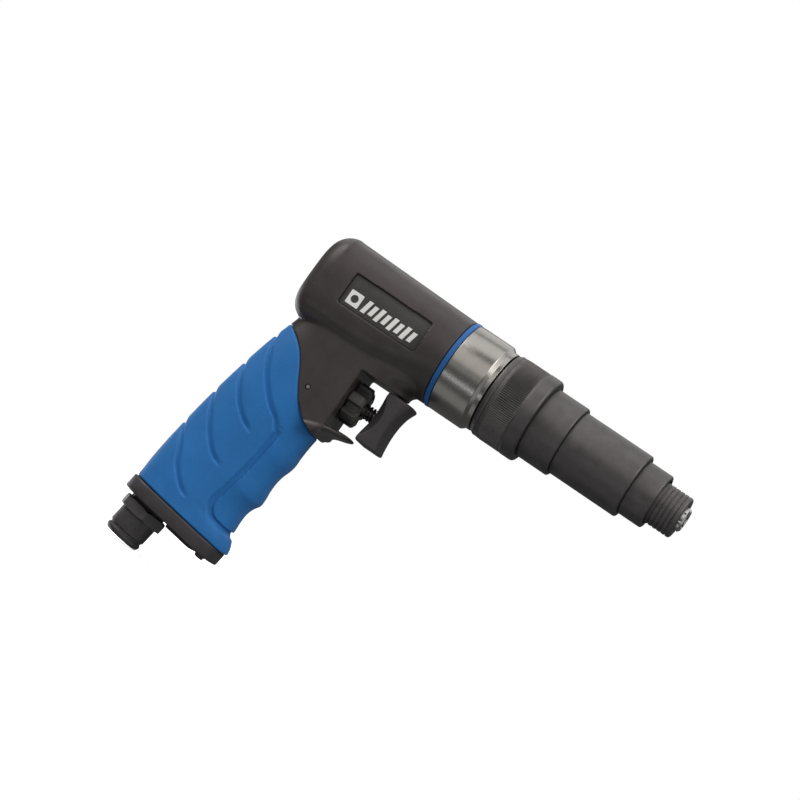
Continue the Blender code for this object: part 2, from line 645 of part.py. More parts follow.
# ---------------------------------------------------------------- throttle, reverse and trigger
def make_trigger():
    """Trigger, the stem that opens the throttle, the throttle's seat, and both return springs."""
    side_crease = -0.0096
    rings = []
    for z, back, front in ((-0.0138, -0.0181, -0.0052), (-0.0085, -0.0178, -0.0062),
                           (-0.0030, -0.0175, -0.0067), (0.0030, -0.0172, -0.0063),
                           (0.0080, -0.0170, -0.0050), (0.0120, -0.0170, -0.0032),
                           (0.0133, -0.0170, -0.0034)):
        shoulder = 0.4 * front + 0.6 * side_crease
        right = [(back, -TRIGGER_HALF_WIDTH), (side_crease, -TRIGGER_HALF_WIDTH), (shoulder, -0.0078),
                 (front, -0.0040)]
        plan = right + [(x, -y) for x, y in reversed(right)]
        rings.append([(x, y, TRIGGER_Z + z) for x, y in plan])
    body = loft("trigger", rings, BLACK_PLASTIC)
    add_bevel(body, 0.0007, 1, math.radians(50))
    for side in (-1, 1):
        scoop = turned(f"trigger_scoop_{side}", rod(0.0070, 0.020, 0.0165), None, TOOL,
                       (-0.0302, 0, TRIGGER_Z), (-side * math.pi / 2, 0, 0), COARSE)
        cut(body, scoop)
    cut(body, turned("stem_socket", rod(-0.030, -0.0105, STEM_CLEARANCE_R), None, TRIGGER_AXIS, facets=16))

    tip_r, disc_rear, disc_front, disc_r = 0.0020, -0.0660, -0.0632, 0.0047
    stem = [(-0.0108, 0), (-0.0108, STEM_R), (-0.0585, STEM_R), (-0.0600, tip_r),
            (disc_front + 0.0002, tip_r), (disc_front, disc_r), (disc_rear + 0.0008, disc_r),
            (disc_rear, disc_r - 0.0007), (disc_rear, 0)]
    turned("throttle_stem", stem, BRIGHT_STEEL, TRIGGER_AXIS, facets=16)
    coil("trigger_spring", DIAL_FRONT + 0.0010, -0.0184, 0.0031, 0.0009, 2.6, TRIGGER_AXIS, SEAL_RUBBER, 10)
    coil("throttle_spring", -0.0748, disc_rear - 0.0004, 0.0034, 0.0008, 3.2, TRIGGER_AXIS, steps=10)
    turned("throttle_seat", tube(-0.0628, -0.0604, 0.0029, 0.0062), BRONZE, TRIGGER_AXIS, facets=COARSE)


def make_reverse():
    """The reverse dial, the ported spool that it turns, and the cross pin that keeps the spool in."""
    dial_rear, hub_r = HANDLE_FACE_X + GAP, 0.0042
    dial = turned("reverse_dial", [
        (dial_rear, SPOOL_BORE_R), (dial_rear, DIAL_R), (DIAL_FRONT - 0.0005, DIAL_R),
        (DIAL_FRONT, DIAL_R - 0.0005), (DIAL_FRONT, hub_r), (DIAL_FRONT + 0.0007, hub_r),
        (DIAL_FRONT + 0.0007, SPOOL_BORE_R)], BLACK_PLASTIC, TRIGGER_AXIS, facets=MEDIUM)
    for k in range(NOTCHES):
        a = 2 * math.pi * (k + 0.5) / NOTCHES
        reach = DIAL_R + 0.0008
        notch = turned(f"dial_notch_{k}", rod(-0.0318, DIAL_FRONT - 0.0011, 0.0027), None, TRIGGER_AXIS,
                       (0, reach * math.cos(a), reach * math.sin(a)), facets=12)
        cut(dial, notch)
    pin_groove, port_rear, port_front, port_r = 0.0016, -0.0562, -0.0518, 0.0048
    turned("reverse_spool", [
        (HANDLE_FACE_X, SPOOL_BORE_R), (HANDLE_FACE_X, SPOOL_R), (PIN_X + pin_groove, SPOOL_R),
        (PIN_X + pin_groove, SPOOL_NECK_R), (PIN_X - pin_groove, SPOOL_NECK_R),
        (PIN_X - pin_groove, SPOOL_R), (port_front, SPOOL_R), (port_front, port_r), (port_rear, port_r),
        (port_rear, SPOOL_R), (SPOOL_END, SPOOL_R),
        (SPOOL_END, SPOOL_BORE_R)], BRIGHT_STEEL, TRIGGER_AXIS, facets=COARSE)
    turned("valve_pin", rod(-PIN_HALF_LENGTH, PIN_HALF_LENGTH, PIN_R, 0.0002), BRIGHT_STEEL, TOOL,
           (PIN_X, 0, PIN_Z), (math.pi / 2, 0, 0), 12)


# ---------------------------------------------------------------- air motor
def make_motor():
    """The vane motor: cylinder, end plates, bearings and the rotor, which runs off the cylinder's
    centre."""
    body = rod(CYLINDER_REAR, CYLINDER_FRONT, CYLINDER_R)
    cylinder = turned("motor_cylinder", body, COMPOSITE, facets=FINE)
    lift = (0, 0, ROTOR_ECCENTRICITY)
    cut(cylinder, turned("cylinder_bore", rod(-0.07, 0.0, CYLINDER_BORE_R), None, TOOL, lift, facets=FINE))
    for row, x in enumerate((-0.047, -0.030)):
        for side, angle in enumerate((120, 60)):
            port = turned(f"port_{row}_{side}", rod(0.010, 0.022, 0.0025), None, TOOL, (x, 0, 0),
                          (math.radians(angle), 0, 0), 10)
            cut(cylinder, port)
    rear_plate = tube(-0.0648, CYLINDER_REAR - GAP, REAR_JOURNAL_R + RUNNING, CYLINDER_R)
    turned("rear_end_plate", rear_plate, BRIGHT_STEEL, facets=MEDIUM)
    seat_x, seat_r, front_x = -0.0130, 0.0112, -0.0060
    front_plate = [(CYLINDER_FRONT + GAP, 0.0062), (CYLINDER_FRONT + GAP, CYLINDER_R),
                   (front_x, CYLINDER_R), (front_x, seat_r), (seat_x, seat_r), (seat_x, 0.0062)]
    turned("front_end_plate", front_plate, BRIGHT_STEEL, facets=MEDIUM)
    rear_bearing = tube(-0.0710, -0.0652, REAR_JOURNAL_R + 2 * RUNNING, 0.0095, 0.0003)
    turned("rear_bearing", rear_bearing, BRIGHT_STEEL, facets=COARSE)
    front_bearing = tube(seat_x + 0.0004, -0.0066, FRONT_JOURNAL_R + RUNNING, seat_r - GAP, 0.0003)
    turned("front_bearing", front_bearing, BRIGHT_STEEL, facets=COARSE)
    make_rotor()


def make_rotor():
    """The slotted rotor with its vanes. The first sun gear is cut on its front end."""
    body_rear, body_front = CYLINDER_REAR + RUNNING, CYLINDER_FRONT - RUNNING
    shaft_rear, shoulder_x, shaft_front = -0.0708, -0.0064, -0.0010
    rotor = turned("rotor", [
        (shaft_rear, 0), (shaft_rear, REAR_JOURNAL_R), (body_rear, REAR_JOURNAL_R), (body_rear, ROTOR_R),
        (body_front, ROTOR_R), (body_front, FRONT_JOURNAL_R), (shoulder_x, FRONT_JOURNAL_R),
        (shoulder_x, PINION_ROOT_R), (shaft_front, PINION_ROOT_R),
        (shaft_front, 0)], SATIN_STEEL, facets=40)
    bottom_r, half = ROTOR_R - VANE_DEPTH, VANE_HALF_THICKNESS
    for k in range(VANES):
        a = 2 * math.pi * k / VANES
        slot = box(f"vane_slot_{k}", (body_rear - 0.001, bottom_r, -half),
                   (body_front + 0.0002, ROTOR_R + 0.002, half))
        slot.rotation_euler = (a, 0, 0)
        cut(rotor, slot)
        vane = box(f"vane_{k + 1}", (body_rear + GAP, bottom_r + GAP, -half + GAP / 2),
                   (body_front - GAP, ROTOR_R - 0.0001, half - GAP / 2), COMPOSITE)
        vane.rotation_euler = (a, 0, 0)
    pinion = as_mesh(flat("pinion", [across_axis(SUN_OUTLINE)], 0.0110, None, location=(0.0025, 0, 0),
                          rotation=ALONG_X))
    join(rotor, pinion)


# ---------------------------------------------------------------- gearbox
def make_gearbox():
    """The blue gasket, the steel housing, its ring gear, and two rows of planets on carriers."""
    lip, gasket_r = 0.0005, 0.0225
    rear, front = HOUSING_FRONT + GAP, -GAP
    turned("gasket_ring", [
        (rear, 0.0205), (rear, gasket_r - lip), (rear + lip, gasket_r), (front - lip, gasket_r),
        (front, gasket_r - lip), (front, 0.0205)], BLUE_RUBBER, facets=FINE)
    housing_end, neck_r = CLUTCH_HOUSING_LENGTH, CLUTCH_HOUSING_R - 0.0017
    spigot_r, floor_x, inside_r, mouth_x, mouth_r = 0.0168, 0.0012, 0.0202, 0.0186, 0.0165
    turned("clutch_housing", [
        (-0.0054, spigot_r), (-0.0054, BARREL_BORE_R - GAP), (0, BARREL_BORE_R - GAP),
        (0, CLUTCH_HOUSING_R),
        (housing_end - 0.0044, CLUTCH_HOUSING_R), (housing_end - 0.0016, neck_r), (housing_end, neck_r),
        (housing_end, mouth_r), (mouth_x, mouth_r), (mouth_x, inside_r), (floor_x, inside_r),
        (floor_x, spigot_r)], SATIN_STEEL, facets=FINE)
    rim = circle(inside_r - GAP, 40)
    opening = across_axis(spun(RING_OUTLINE, ring_turn()))
    as_mesh(flat("ring_gear", [rim, opening], 0.0167, BRIGHT_STEEL, location=(0.00985, 0, 0),
                 rotation=ALONG_X))
    make_stage("stage1", STAGE_1_X)
    make_stage("stage2", STAGE_2_X)
    carrier_1 = carrier("stage1_carrier", *STAGE_1_CARRIER)
    sun = as_mesh(flat("second_sun", [across_axis(SUN_OUTLINE)], 0.0067, None, location=(0.01315, 0, 0),
                       rotation=ALONG_X))
    join(carrier_1, sun)
    carrier_2 = carrier("stage2_carrier", *STAGE_2_CARRIER)
    shaft = turned("output_shaft", [
        (0.0185, 0), (0.0185, SHAFT_COLLAR_R), (0.0270, SHAFT_COLLAR_R), (0.0270, SHAFT_R),
        (SHAFT_END - 0.0005, SHAFT_R), (SHAFT_END, SHAFT_R - 0.0005), (SHAFT_END, 0)], None, facets=COARSE)
    join(carrier_2, shaft)
    cut(carrier_2, box("key_way", (0.0560, 0.0040, -0.0012), (0.0900, 0.0060, 0.0012)))


def carrier(name, start, end):
    """A disc with a hole for each planet's pin."""
    plate = turned(name, rod(start, end, CARRIER_R), BRIGHT_STEEL, facets=MEDIUM)
    for suffix, orbit, _ in planet_places():
        y, z = in_orbit(orbit)
        hole = rod(start - 0.001, end + 0.001, PLANET_PIN_R + GAP / 2)
        cut(plate, turned(f"{name}_pin_hole_{suffix}", hole, None, TOOL, (0, y, z), facets=12))
    return plate


def make_stage(name, start):
    """A row of planets and their pins."""
    for suffix, orbit, turn in planet_places():
        y, z = in_orbit(orbit)
        outline = across_axis(spun(PLANET_OUTLINE, turn))
        bore = circle(PLANET_PIN_R + RUNNING, 12)
        flat(f"{name}_planet_{suffix}", [outline, bore], PLANET_WIDTH, BRIGHT_STEEL, TOOL,
             (start + PLANET_WIDTH / 2, y, z), ALONG_X)
        pin = rod(start - GAP, start + 0.0079, PLANET_PIN_R, 0.0002)
        turned(f"{name}_pin_{suffix}", pin, BRIGHT_STEEL, TOOL, (0, y, z), facets=12)


# ---------------------------------------------------------------- clutch and nose
def make_case():
    """The threaded case that the collar turns on, slotted for the lugs of the nut inside it."""
    thread_r, seat_r, bore_r, front_bore_r = 0.0168, 0.0162, 0.0140, 0.0152
    flange = COLLAR_END + GAP
    case = turned("clutch_case", [
        (0.0195, 0.0125), (0.0195, seat_r), (COLLAR_START, seat_r), (COLLAR_START, thread_r),
        (flange, thread_r), (flange, CASE_R), *front_edge(CASE_END, CASE_R, RIM_ROUNDING),
        (CASE_END, front_bore_r), (0.0560, front_bore_r), (0.0560, bore_r), (0.0282, bore_r),
        (0.0282, 0.0125)], BLACK_OXIDE, facets=FINE)
    slot_rear, slot_front = NUT_REAR - 0.0004, NUT_FRONT + 0.0005 + ADJUST_TRAVEL
    for k in range(LUGS):
        slot = box(f"lug_slot_{k}", (slot_rear, 0.0120, -0.0030), (slot_front, 0.0180, 0.0030))
        slot.rotation_euler = (2 * math.pi * k / LUGS, 0, 0)
        cut(case, slot)


def make_collar():
    """The knurled torque collar, hollowed out over the nut's lugs."""
    bore_r, hollow_r, hollow_rear, hollow_front = 0.0170, 0.0186, 0.0296, 0.0420
    turned("adjusting_collar", [
        (COLLAR_START, bore_r), (COLLAR_START, COLLAR_R - 0.0010), (COLLAR_START + 0.0010, COLLAR_R - 0.0008),
        (COLLAR_START + 0.0015, COLLAR_R - 0.0003),
        *front_edge(COLLAR_END, COLLAR_R, 0.0015), (COLLAR_END, bore_r),
        (hollow_front, bore_r), (hollow_front, hollow_r), (hollow_rear, hollow_r),
        (hollow_rear, bore_r)], BLACK_OXIDE, facets=FINE)


def make_nut():
    nut = turned("adjusting_nut", tube(NUT_REAR, NUT_FRONT, 0.0056, 0.0136), BRONZE, facets=MEDIUM)
    for k in range(LUGS):
        lug = box(f"lug_{k}", (NUT_REAR, 0.0120, -0.0026), (NUT_FRONT, 0.0180, 0.0026))
        lug.rotation_euler = (2 * math.pi * k / LUGS, 0, 0)
        join(nut, lug)


def make_clutch():
    """Case, collar and nut, with the bearing, spring and cam that they enclose."""
    make_case()
    make_collar()
    make_nut()
    bearing = tube(0.0222, 0.0268, SHAFT_COLLAR_R + RUNNING, 0.0122, 0.0003)
    turned("spindle_bearing", bearing, BRIGHT_STEEL, facets=COARSE)
    coil("clutch_spring", NUT_FRONT + GAP, 0.0715, 0.0090, 0.0020, 5.5, TOOL)
    drive = turned("drive_cam", tube(0.0718, 0.0788, SHAFT_R + RUNNING, CAM_R), BRIGHT_STEEL, facets=MEDIUM)
    join(drive, box("key", (0.0720, 0.0043, -0.0009), (0.0760, 0.0060, 0.0009)))
    jaws(drive, "drive", 0.0762, 0.0800, 0)


def jaws(piece, name, start, end, offset):
    """Cuts the spaces between the clutch jaws out of a cam's face."""
    reach = 0.014
    corner = reach * math.cos(JAW_SPACE_HALF), reach * math.sin(JAW_SPACE_HALF)
    wedge = [(0.0, 0.0), (corner[0], -corner[1]), (reach * 1.2, 0.0), corner]
    for k in range(JAWS):
        a = 2 * math.pi * (k + offset) / JAWS
        space = as_mesh(flat(f"{name}_space_{k}", [across_axis(spun(wedge, a))], end - start, None,
                             location=((start + end) / 2, 0, 0), rotation=ALONG_X))
        cut(piece, space)


def make_nose():
    """The two sleeves of the nose, and the bushing that the spindle runs in."""
    step, stop, cap_bore_r = CASE_END + GAP, 0.0859, 0.0128
    turned("nose_sleeve", [
        (0.0563, NOSE_BORE_R), (0.0563, 0.0149), (step, 0.0149), (step, NOSE_SLEEVE_R),
        *front_edge(NOSE_SLEEVE_END, NOSE_SLEEVE_R, RIM_ROUNDING), (NOSE_SLEEVE_END, cap_bore_r),
        (stop, cap_bore_r), (stop, NOSE_BORE_R)], BLACK_OXIDE, facets=FINE)
    step, stop, mouth_r = NOSE_SLEEVE_END + GAP, 0.1017, 0.0114
    turned("nose_cap", [
        (0.0863, CAP_BORE_R), (0.0863, cap_bore_r - GAP), (step, cap_bore_r - GAP), (step, NOSE_CAP_R),
        *front_edge(NOSE_CAP_END, NOSE_CAP_R, RIM_ROUNDING), (NOSE_CAP_END, mouth_r), (stop, mouth_r),
        (stop, CAP_BORE_R)], BLACK_OXIDE, facets=FINE)
    bushing = tube(0.0869, 0.1012, SPINDLE_R + RUNNING, CAP_BORE_R - GAP)
    turned("spindle_bushing", bushing, BRONZE, facets=COARSE)


def make_spindle():
    """The driven cam and bit holder in one piece."""
    cam_rear, cam_front = 0.0768, 0.0850
    spindle = turned("spindle", [
        (cam_rear, 0), (cam_rear, CAM_R), (cam_front, CAM_R), (cam_front, SPINDLE_R),
        (SPINDLE_TIP - 0.0008, SPINDLE_R), (SPINDLE_TIP, SPINDLE_R - 0.0008),
        (SPINDLE_TIP, 0)], BRIGHT_STEEL, facets=MEDIUM)
    cut(spindle, turned("shaft_space", rod(0.070, 0.0800, SHAFT_R + GAP), None, facets=COARSE))
    jaws(spindle, "spindle", 0.0750, 0.0790, 0.5)
    beyond = 0.004
    socket_x = SPINDLE_TIP + (beyond - HEX_SOCKET_DEPTH) / 2
    socket = as_mesh(flat("hex_socket", [hexagon(HEX_SOCKET_AF)], HEX_SOCKET_DEPTH + beyond, None,
                          location=(socket_x, 0, 0), rotation=ALONG_X))
    mouth = turned("socket_mouth", [(SPINDLE_TIP - 0.0006, 0), (SPINDLE_TIP - 0.0006, 0.0032),
                                    (SPINDLE_TIP + 0.0004, 0.0042), (SPINDLE_TIP + 0.0004, 0)],
                   None, facets=COARSE)
    ball_hole = turned("ball_hole", rod(0.0, 0.010, BALL_HOLE_R), None, TOOL, (BALL_X, 0, 0), (0, 0, 0), 12)
    cut(spindle, socket, mouth, ball_hole)


def make_chuck():
    """The sliding sleeve, its spring and clip, and the ball that holds the bit."""
    spring_r, stop, running_r = SPINDLE_R + 0.0016, 0.1155, SPINDLE_R + RUNNING
    turned("chuck_sleeve", [
        (CHUCK_START, spring_r), (CHUCK_START, CHUCK_R - 0.0006), (CHUCK_START + 0.0006, CHUCK_R),
        *front_edge(CHUCK_END, CHUCK_R, 0.0014),
        (CHUCK_END, running_r), (stop, running_r), (stop, spring_r)], BLACK_OXIDE, facets=MEDIUM)
    steps = 8
    ball = []
    for k in range(steps + 1):
        a = math.pi * k / steps
        ball.append((BALL_R * math.cos(a), BALL_R * math.sin(a) if 0 < k < steps else 0))
    turned("retaining_ball", ball, BRIGHT_STEEL, TOOL, (BALL_X, 0, 0.00470), facets=12)
    turned("spindle_clip", tube(0.1068, 0.1080, running_r, 0.0072), BRIGHT_STEEL, facets=COARSE)
    coil("chuck_spring", 0.1085, 0.1152, SPINDLE_R + 0.0008, 0.0007, 3.0, TOOL)


make_motor_housing()
make_grip_sleeve()
make_nameplate()
make_base()
make_inlet()
make_trigger()
make_reverse()
make_motor()
make_gearbox()
make_clutch()
make_nose()
make_spindle()
make_chuck()
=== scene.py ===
"""The pneumatic screwdriver's final meshes, materials, light and camera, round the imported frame.

Lengths are metres. Most pieces are modelled in the tool frame, whose zero lies on the spindle axis at the
joint between motor housing and clutch housing, with X towards the nose and Z up. Pieces of the handle use
the grip frame, whose Z runs up the middle of the grip from its bottom plane.
"""

import math

import bmesh
import bpy
import numpy as np
from mathutils import Matrix, Vector


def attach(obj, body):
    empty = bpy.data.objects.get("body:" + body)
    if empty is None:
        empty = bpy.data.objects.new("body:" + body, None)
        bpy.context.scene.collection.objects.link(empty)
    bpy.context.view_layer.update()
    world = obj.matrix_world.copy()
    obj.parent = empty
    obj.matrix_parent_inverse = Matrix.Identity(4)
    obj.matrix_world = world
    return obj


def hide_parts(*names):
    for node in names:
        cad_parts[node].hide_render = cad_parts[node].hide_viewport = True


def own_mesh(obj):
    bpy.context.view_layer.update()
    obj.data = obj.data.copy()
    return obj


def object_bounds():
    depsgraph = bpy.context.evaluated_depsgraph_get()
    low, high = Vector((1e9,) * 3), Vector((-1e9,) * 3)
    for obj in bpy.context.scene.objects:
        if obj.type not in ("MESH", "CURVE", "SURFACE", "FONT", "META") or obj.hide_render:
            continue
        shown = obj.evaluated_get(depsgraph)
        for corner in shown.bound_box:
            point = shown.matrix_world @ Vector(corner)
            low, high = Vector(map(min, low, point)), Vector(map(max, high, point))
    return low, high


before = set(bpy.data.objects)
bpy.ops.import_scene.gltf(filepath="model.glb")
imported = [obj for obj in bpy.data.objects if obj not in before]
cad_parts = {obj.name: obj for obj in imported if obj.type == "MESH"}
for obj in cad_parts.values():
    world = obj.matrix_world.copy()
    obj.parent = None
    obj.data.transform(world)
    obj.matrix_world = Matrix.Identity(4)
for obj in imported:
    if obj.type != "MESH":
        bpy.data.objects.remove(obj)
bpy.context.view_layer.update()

# ---- frames and shared dimensions, as in the CAD
TOOL = Matrix.Translation((-0.0159, 0.0, 0.06485))
GRIP_TILT = math.radians(8.0)
GRIP_AT = (-0.0664, 0.0, -0.1275)
GRIP = TOOL @ Matrix.Translation(GRIP_AT) @ Matrix.Rotation(GRIP_TILT, 4, "Y")
TO_TOOL = TOOL.inverted() @ GRIP       # from the grip frame to the tool frame
TO_GRIP = GRIP.inverted() @ TOOL
TRIGGER_Z = -0.0403
TRIGGER_AXIS = TOOL @ Matrix.Translation((0.0, 0.0, TRIGGER_Z))

BARREL_R = 0.0223
BARREL_TOP = 0.02385
HOUSING_REAR, HOUSING_FRONT = -0.0790, -0.0030
HANDLE_FACE_X = -0.0320
GRIP_TOP = 0.112
FLAT_FACE_FROM = 0.070
SLEEVE_WALL = 0.0026
SEAM_GAP = 0.00015
DIAL_R, DIAL_FRONT = 0.0104, -0.0245
PIN_AT = Matrix.Translation((-0.0481, 0.0, -0.0466)) @ Matrix.Rotation(math.pi / 2, 4, "X")
SCREW_X = 0.0190
INLET_X = -0.0141
BASE_THICKNESS = 0.0072
EXHAUST_X, EXHAUST_Y = 0.0030, 0.0107
STEM_BORE_R = 0.0039
GAP = 0.0003
FACETS, FINE_FACETS = 144, 192       # round a turned piece


# ---- mesh helpers
def mesh_object(name, vertices, faces):
    mesh = bpy.data.meshes.new(name)
    mesh.from_pydata([tuple(v) for v in vertices], [], faces)
    obj = bpy.data.objects.new(name, mesh)
    bpy.context.scene.collection.objects.link(obj)
    return obj


def clean(obj, weld=0.000001):
    """Welds doubled points and turns all faces outwards."""
    shape = bmesh.new()
    shape.from_mesh(obj.data)
    bmesh.ops.remove_doubles(shape, verts=shape.verts, dist=weld)
    bmesh.ops.recalc_face_normals(shape, faces=shape.faces)
    shape.to_mesh(obj.data)
    shape.free()
    return obj


def moved(obj, matrix):
    obj.data.transform(matrix)
    return obj


def shifted(obj, x=0.0, y=0.0, z=0.0):
    return moved(obj, Matrix.Translation((x, y, z)))


def angles(count, offset=0.0):
    """Equal steps round a circle."""
    return [2 * math.pi * (i + offset) / count for i in range(count)]


def quarter(steps):
    """Equal steps from 0 to a right angle."""
    return [math.pi / 2 * k / steps for k in range(steps + 1)]


def loft(name, rings, closed_ends=True):
    """A body through rings of equally many points. Ends are capped."""
    count = len(rings[0])
    vertices = [p for ring in rings for p in ring]
    faces = []
    for k in range(len(rings) - 1):
        low, high = k * count, (k + 1) * count
        for i in range(count):
            j = (i + 1) % count
            faces.append((low + i, low + j, high + j, high + i))
    if closed_ends:
        faces.append(tuple(range(count)))
        faces.append(tuple(reversed(range((len(rings) - 1) * count, len(rings) * count))))
    return clean(mesh_object(name, vertices, faces))


def filleted(outline, steps=5):
    """Corners with a third value are rounded to that radius. The outline closes on itself."""
    points = []
    count = len(outline)
    for i, corner in enumerate(outline):
        here = Vector(corner[:2])
        radius = corner[2] if len(corner) > 2 else 0.0
        if not radius:
            points.append(tuple(here))
            continue
        before = (Vector(outline[i - 1][:2]) - here).normalized()
        after = (Vector(outline[(i + 1) % count][:2]) - here).normalized()
        half = before.angle(after) / 2
        reach = radius / math.tan(half)
        middle = here + (before + after).normalized() * (radius / math.sin(half))
        start, end = here + before * reach, here + after * reach
        a0 = math.atan2(start.y - middle.y, start.x - middle.x)
        a1 = math.atan2(end.y - middle.y, end.x - middle.x)
        sweep = (a1 - a0 + math.pi) % (2 * math.pi) - math.pi
        for k in range(steps + 1):
            a = a0 + sweep * k / steps
            points.append((middle.x + radius * math.cos(a), middle.y + radius * math.sin(a)))
    return points


def turned(name, outline, along="X", facets=FACETS, steps=5):
    """A turned body. The outline lists (station, radius) or (station, radius, corner radius)."""
    points = filleted(outline, steps)
    rings = []
    for station, radius in points:
        circle = [(radius * math.cos(a), radius * math.sin(a)) for a in angles(facets)]
        rings.append([(station, c, s) if along == "X" else (c, s, station) for c, s in circle])
    rings.append(rings[0])
    return clean(loft(name, rings, closed_ends=False))


def rod(name, low, high, radius, along="Z", facets=32):
    """A plain cylinder from low to high."""
    return turned(name, [(low, 0), (low, radius), (high, radius), (high, 0)], along, facets)


def prism(name, outline, low, high, plane="XY"):
    """A straight body on an outline drawn in a plane, from low to high across it."""
    def at(a, b, height):
        return (a, b, height) if plane == "XY" else (a, height, b)
    return loft(name, [[at(a, b, low) for a, b in outline], [at(a, b, high) for a, b in outline]])


def block(name, low, high):
    outline = [(low[0], low[1]), (high[0], low[1]), (high[0], high[1]), (low[0], high[1])]
    return prism(name, outline, low[2], high[2])


def rounded_rectangle(x0, x1, y0, y1, corner, steps=8):
    points = []
    for cx, cy, start in ((x1 - corner, y1 - corner, 0), (x0 + corner, y1 - corner, 90),
                          (x0 + corner, y0 + corner, 180), (x1 - corner, y0 + corner, 270)):
        for i in range(steps + 1):
            a = math.radians(start + 90 * i / steps)
            points.append((cx + corner * math.cos(a), cy + corner * math.sin(a)))
    return points


def pillow(name, low, high, edge, inset_outline, steps=4):
    """A plate with rounded upper and lower edges. inset_outline(d) gives the outline drawn in by d."""
    drawn_in = [(edge * (1 - math.cos(a)), edge * (1 - math.sin(a))) for a in quarter(steps)]
    levels = [(low + drop, inset) for inset, drop in reversed(drawn_in)]
    levels += [(high - drop, inset) for inset, drop in drawn_in]
    return loft(name, [[(x, y, z) for x, y in inset_outline(inset)] for z, inset in levels])


def applied(obj):
    """The object with its modifiers made real."""
    bpy.context.view_layer.update()
    graph = bpy.context.evaluated_depsgraph_get()
    mesh = bpy.data.meshes.new_from_object(obj.evaluated_get(graph))
    obj.modifiers.clear()
    obj.data = mesh
    return obj


def combined(obj, other, operation, solver="MANIFOLD"):
    step = obj.modifiers.new("combine", "BOOLEAN")
    step.operation = operation
    step.solver = solver
    step.object = other
    applied(obj)
    bpy.data.objects.remove(other, do_unlink=True)
    return obj


def cut(obj, *cutters):
    for cutter in cutters:
        combined(obj, cutter, "DIFFERENCE")
    return obj


def kept(obj, limit):
    return combined(obj, limit, "INTERSECT")


def merged(obj, *others):
    for other in others:
        combined(obj, other, "UNION")
    return obj


def heaped(obj, *others):
    """Overlapping bodies in one mesh, for remeshing."""
    shape = bmesh.new()
    for each in (obj, *others):
        shape.from_mesh(each.data)
    shape.to_mesh(obj.data)
    shape.free()
    for other in others:
        bpy.data.objects.remove(other, do_unlink=True)
    return obj


def softened(obj, voxel, rounds):
    """One skin round overlapping bodies, with its edges rounded."""
    remesh = obj.modifiers.new("skin", "REMESH")
    remesh.mode = "VOXEL"
    remesh.voxel_size = voxel
    smooth = obj.modifiers.new("smooth", "SMOOTH")
    smooth.factor = 0.5
    smooth.iterations = rounds
    return applied(obj)


def squared(a, power):
    """A point of a unit circle that grows squarer as the power rises above 2."""
    c, s = math.cos(a), math.sin(a)
    size = (abs(c) ** power + abs(s) ** power) ** (-1 / power)
    return size * c, size * s


def shaded(obj, angle):
    """Smooth shading with sharp edges where faces meet at more than the angle."""
    shape = bmesh.new()
    shape.from_mesh(obj.data)
    for face in shape.faces:
        face.smooth = True
    for edge in shape.edges:
        edge.smooth = len(edge.link_faces) == 2 and edge.calc_face_angle() < angle
    shape.to_mesh(obj.data)
    shape.free()
    return obj


def piece(obj, name, body, material, nodes, angle=34, matrix=TOOL):
    """Finishes a piece: its place, shading, material, and the CAD nodes it stands for."""
    moved(obj, matrix)
    obj.name = name
    shaded(obj, math.radians(angle))
    obj.data.materials.clear()
    obj.data.materials.append(material)
    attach(obj, body)
    if nodes:
        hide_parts(*nodes)
    return obj


def smoothly(table, at):
    """Smooth curve through the rows (station, value) of a table."""
    xs = np.array([row[0] for row in table], float)
    ys = np.array([row[1] for row in table], float)
    slopes = np.gradient(ys, xs)
    at = float(min(max(at, xs[0]), xs[-1]))
    k = int(min(np.searchsorted(xs, at, side="right") - 1, len(xs) - 2))
    h = xs[k + 1] - xs[k]
    t = (at - xs[k]) / h
    return ((2 * t**3 - 3 * t**2 + 1) * ys[k] + (t**3 - 2 * t**2 + t) * h * slopes[k]
            + (-2 * t**3 + 3 * t**2) * ys[k + 1] + (t**3 - t**2) * h * slopes[k + 1])


def ease(value):
    value = min(max(value, 0.0), 1.0)
    return value * value * (3 - 2 * value)


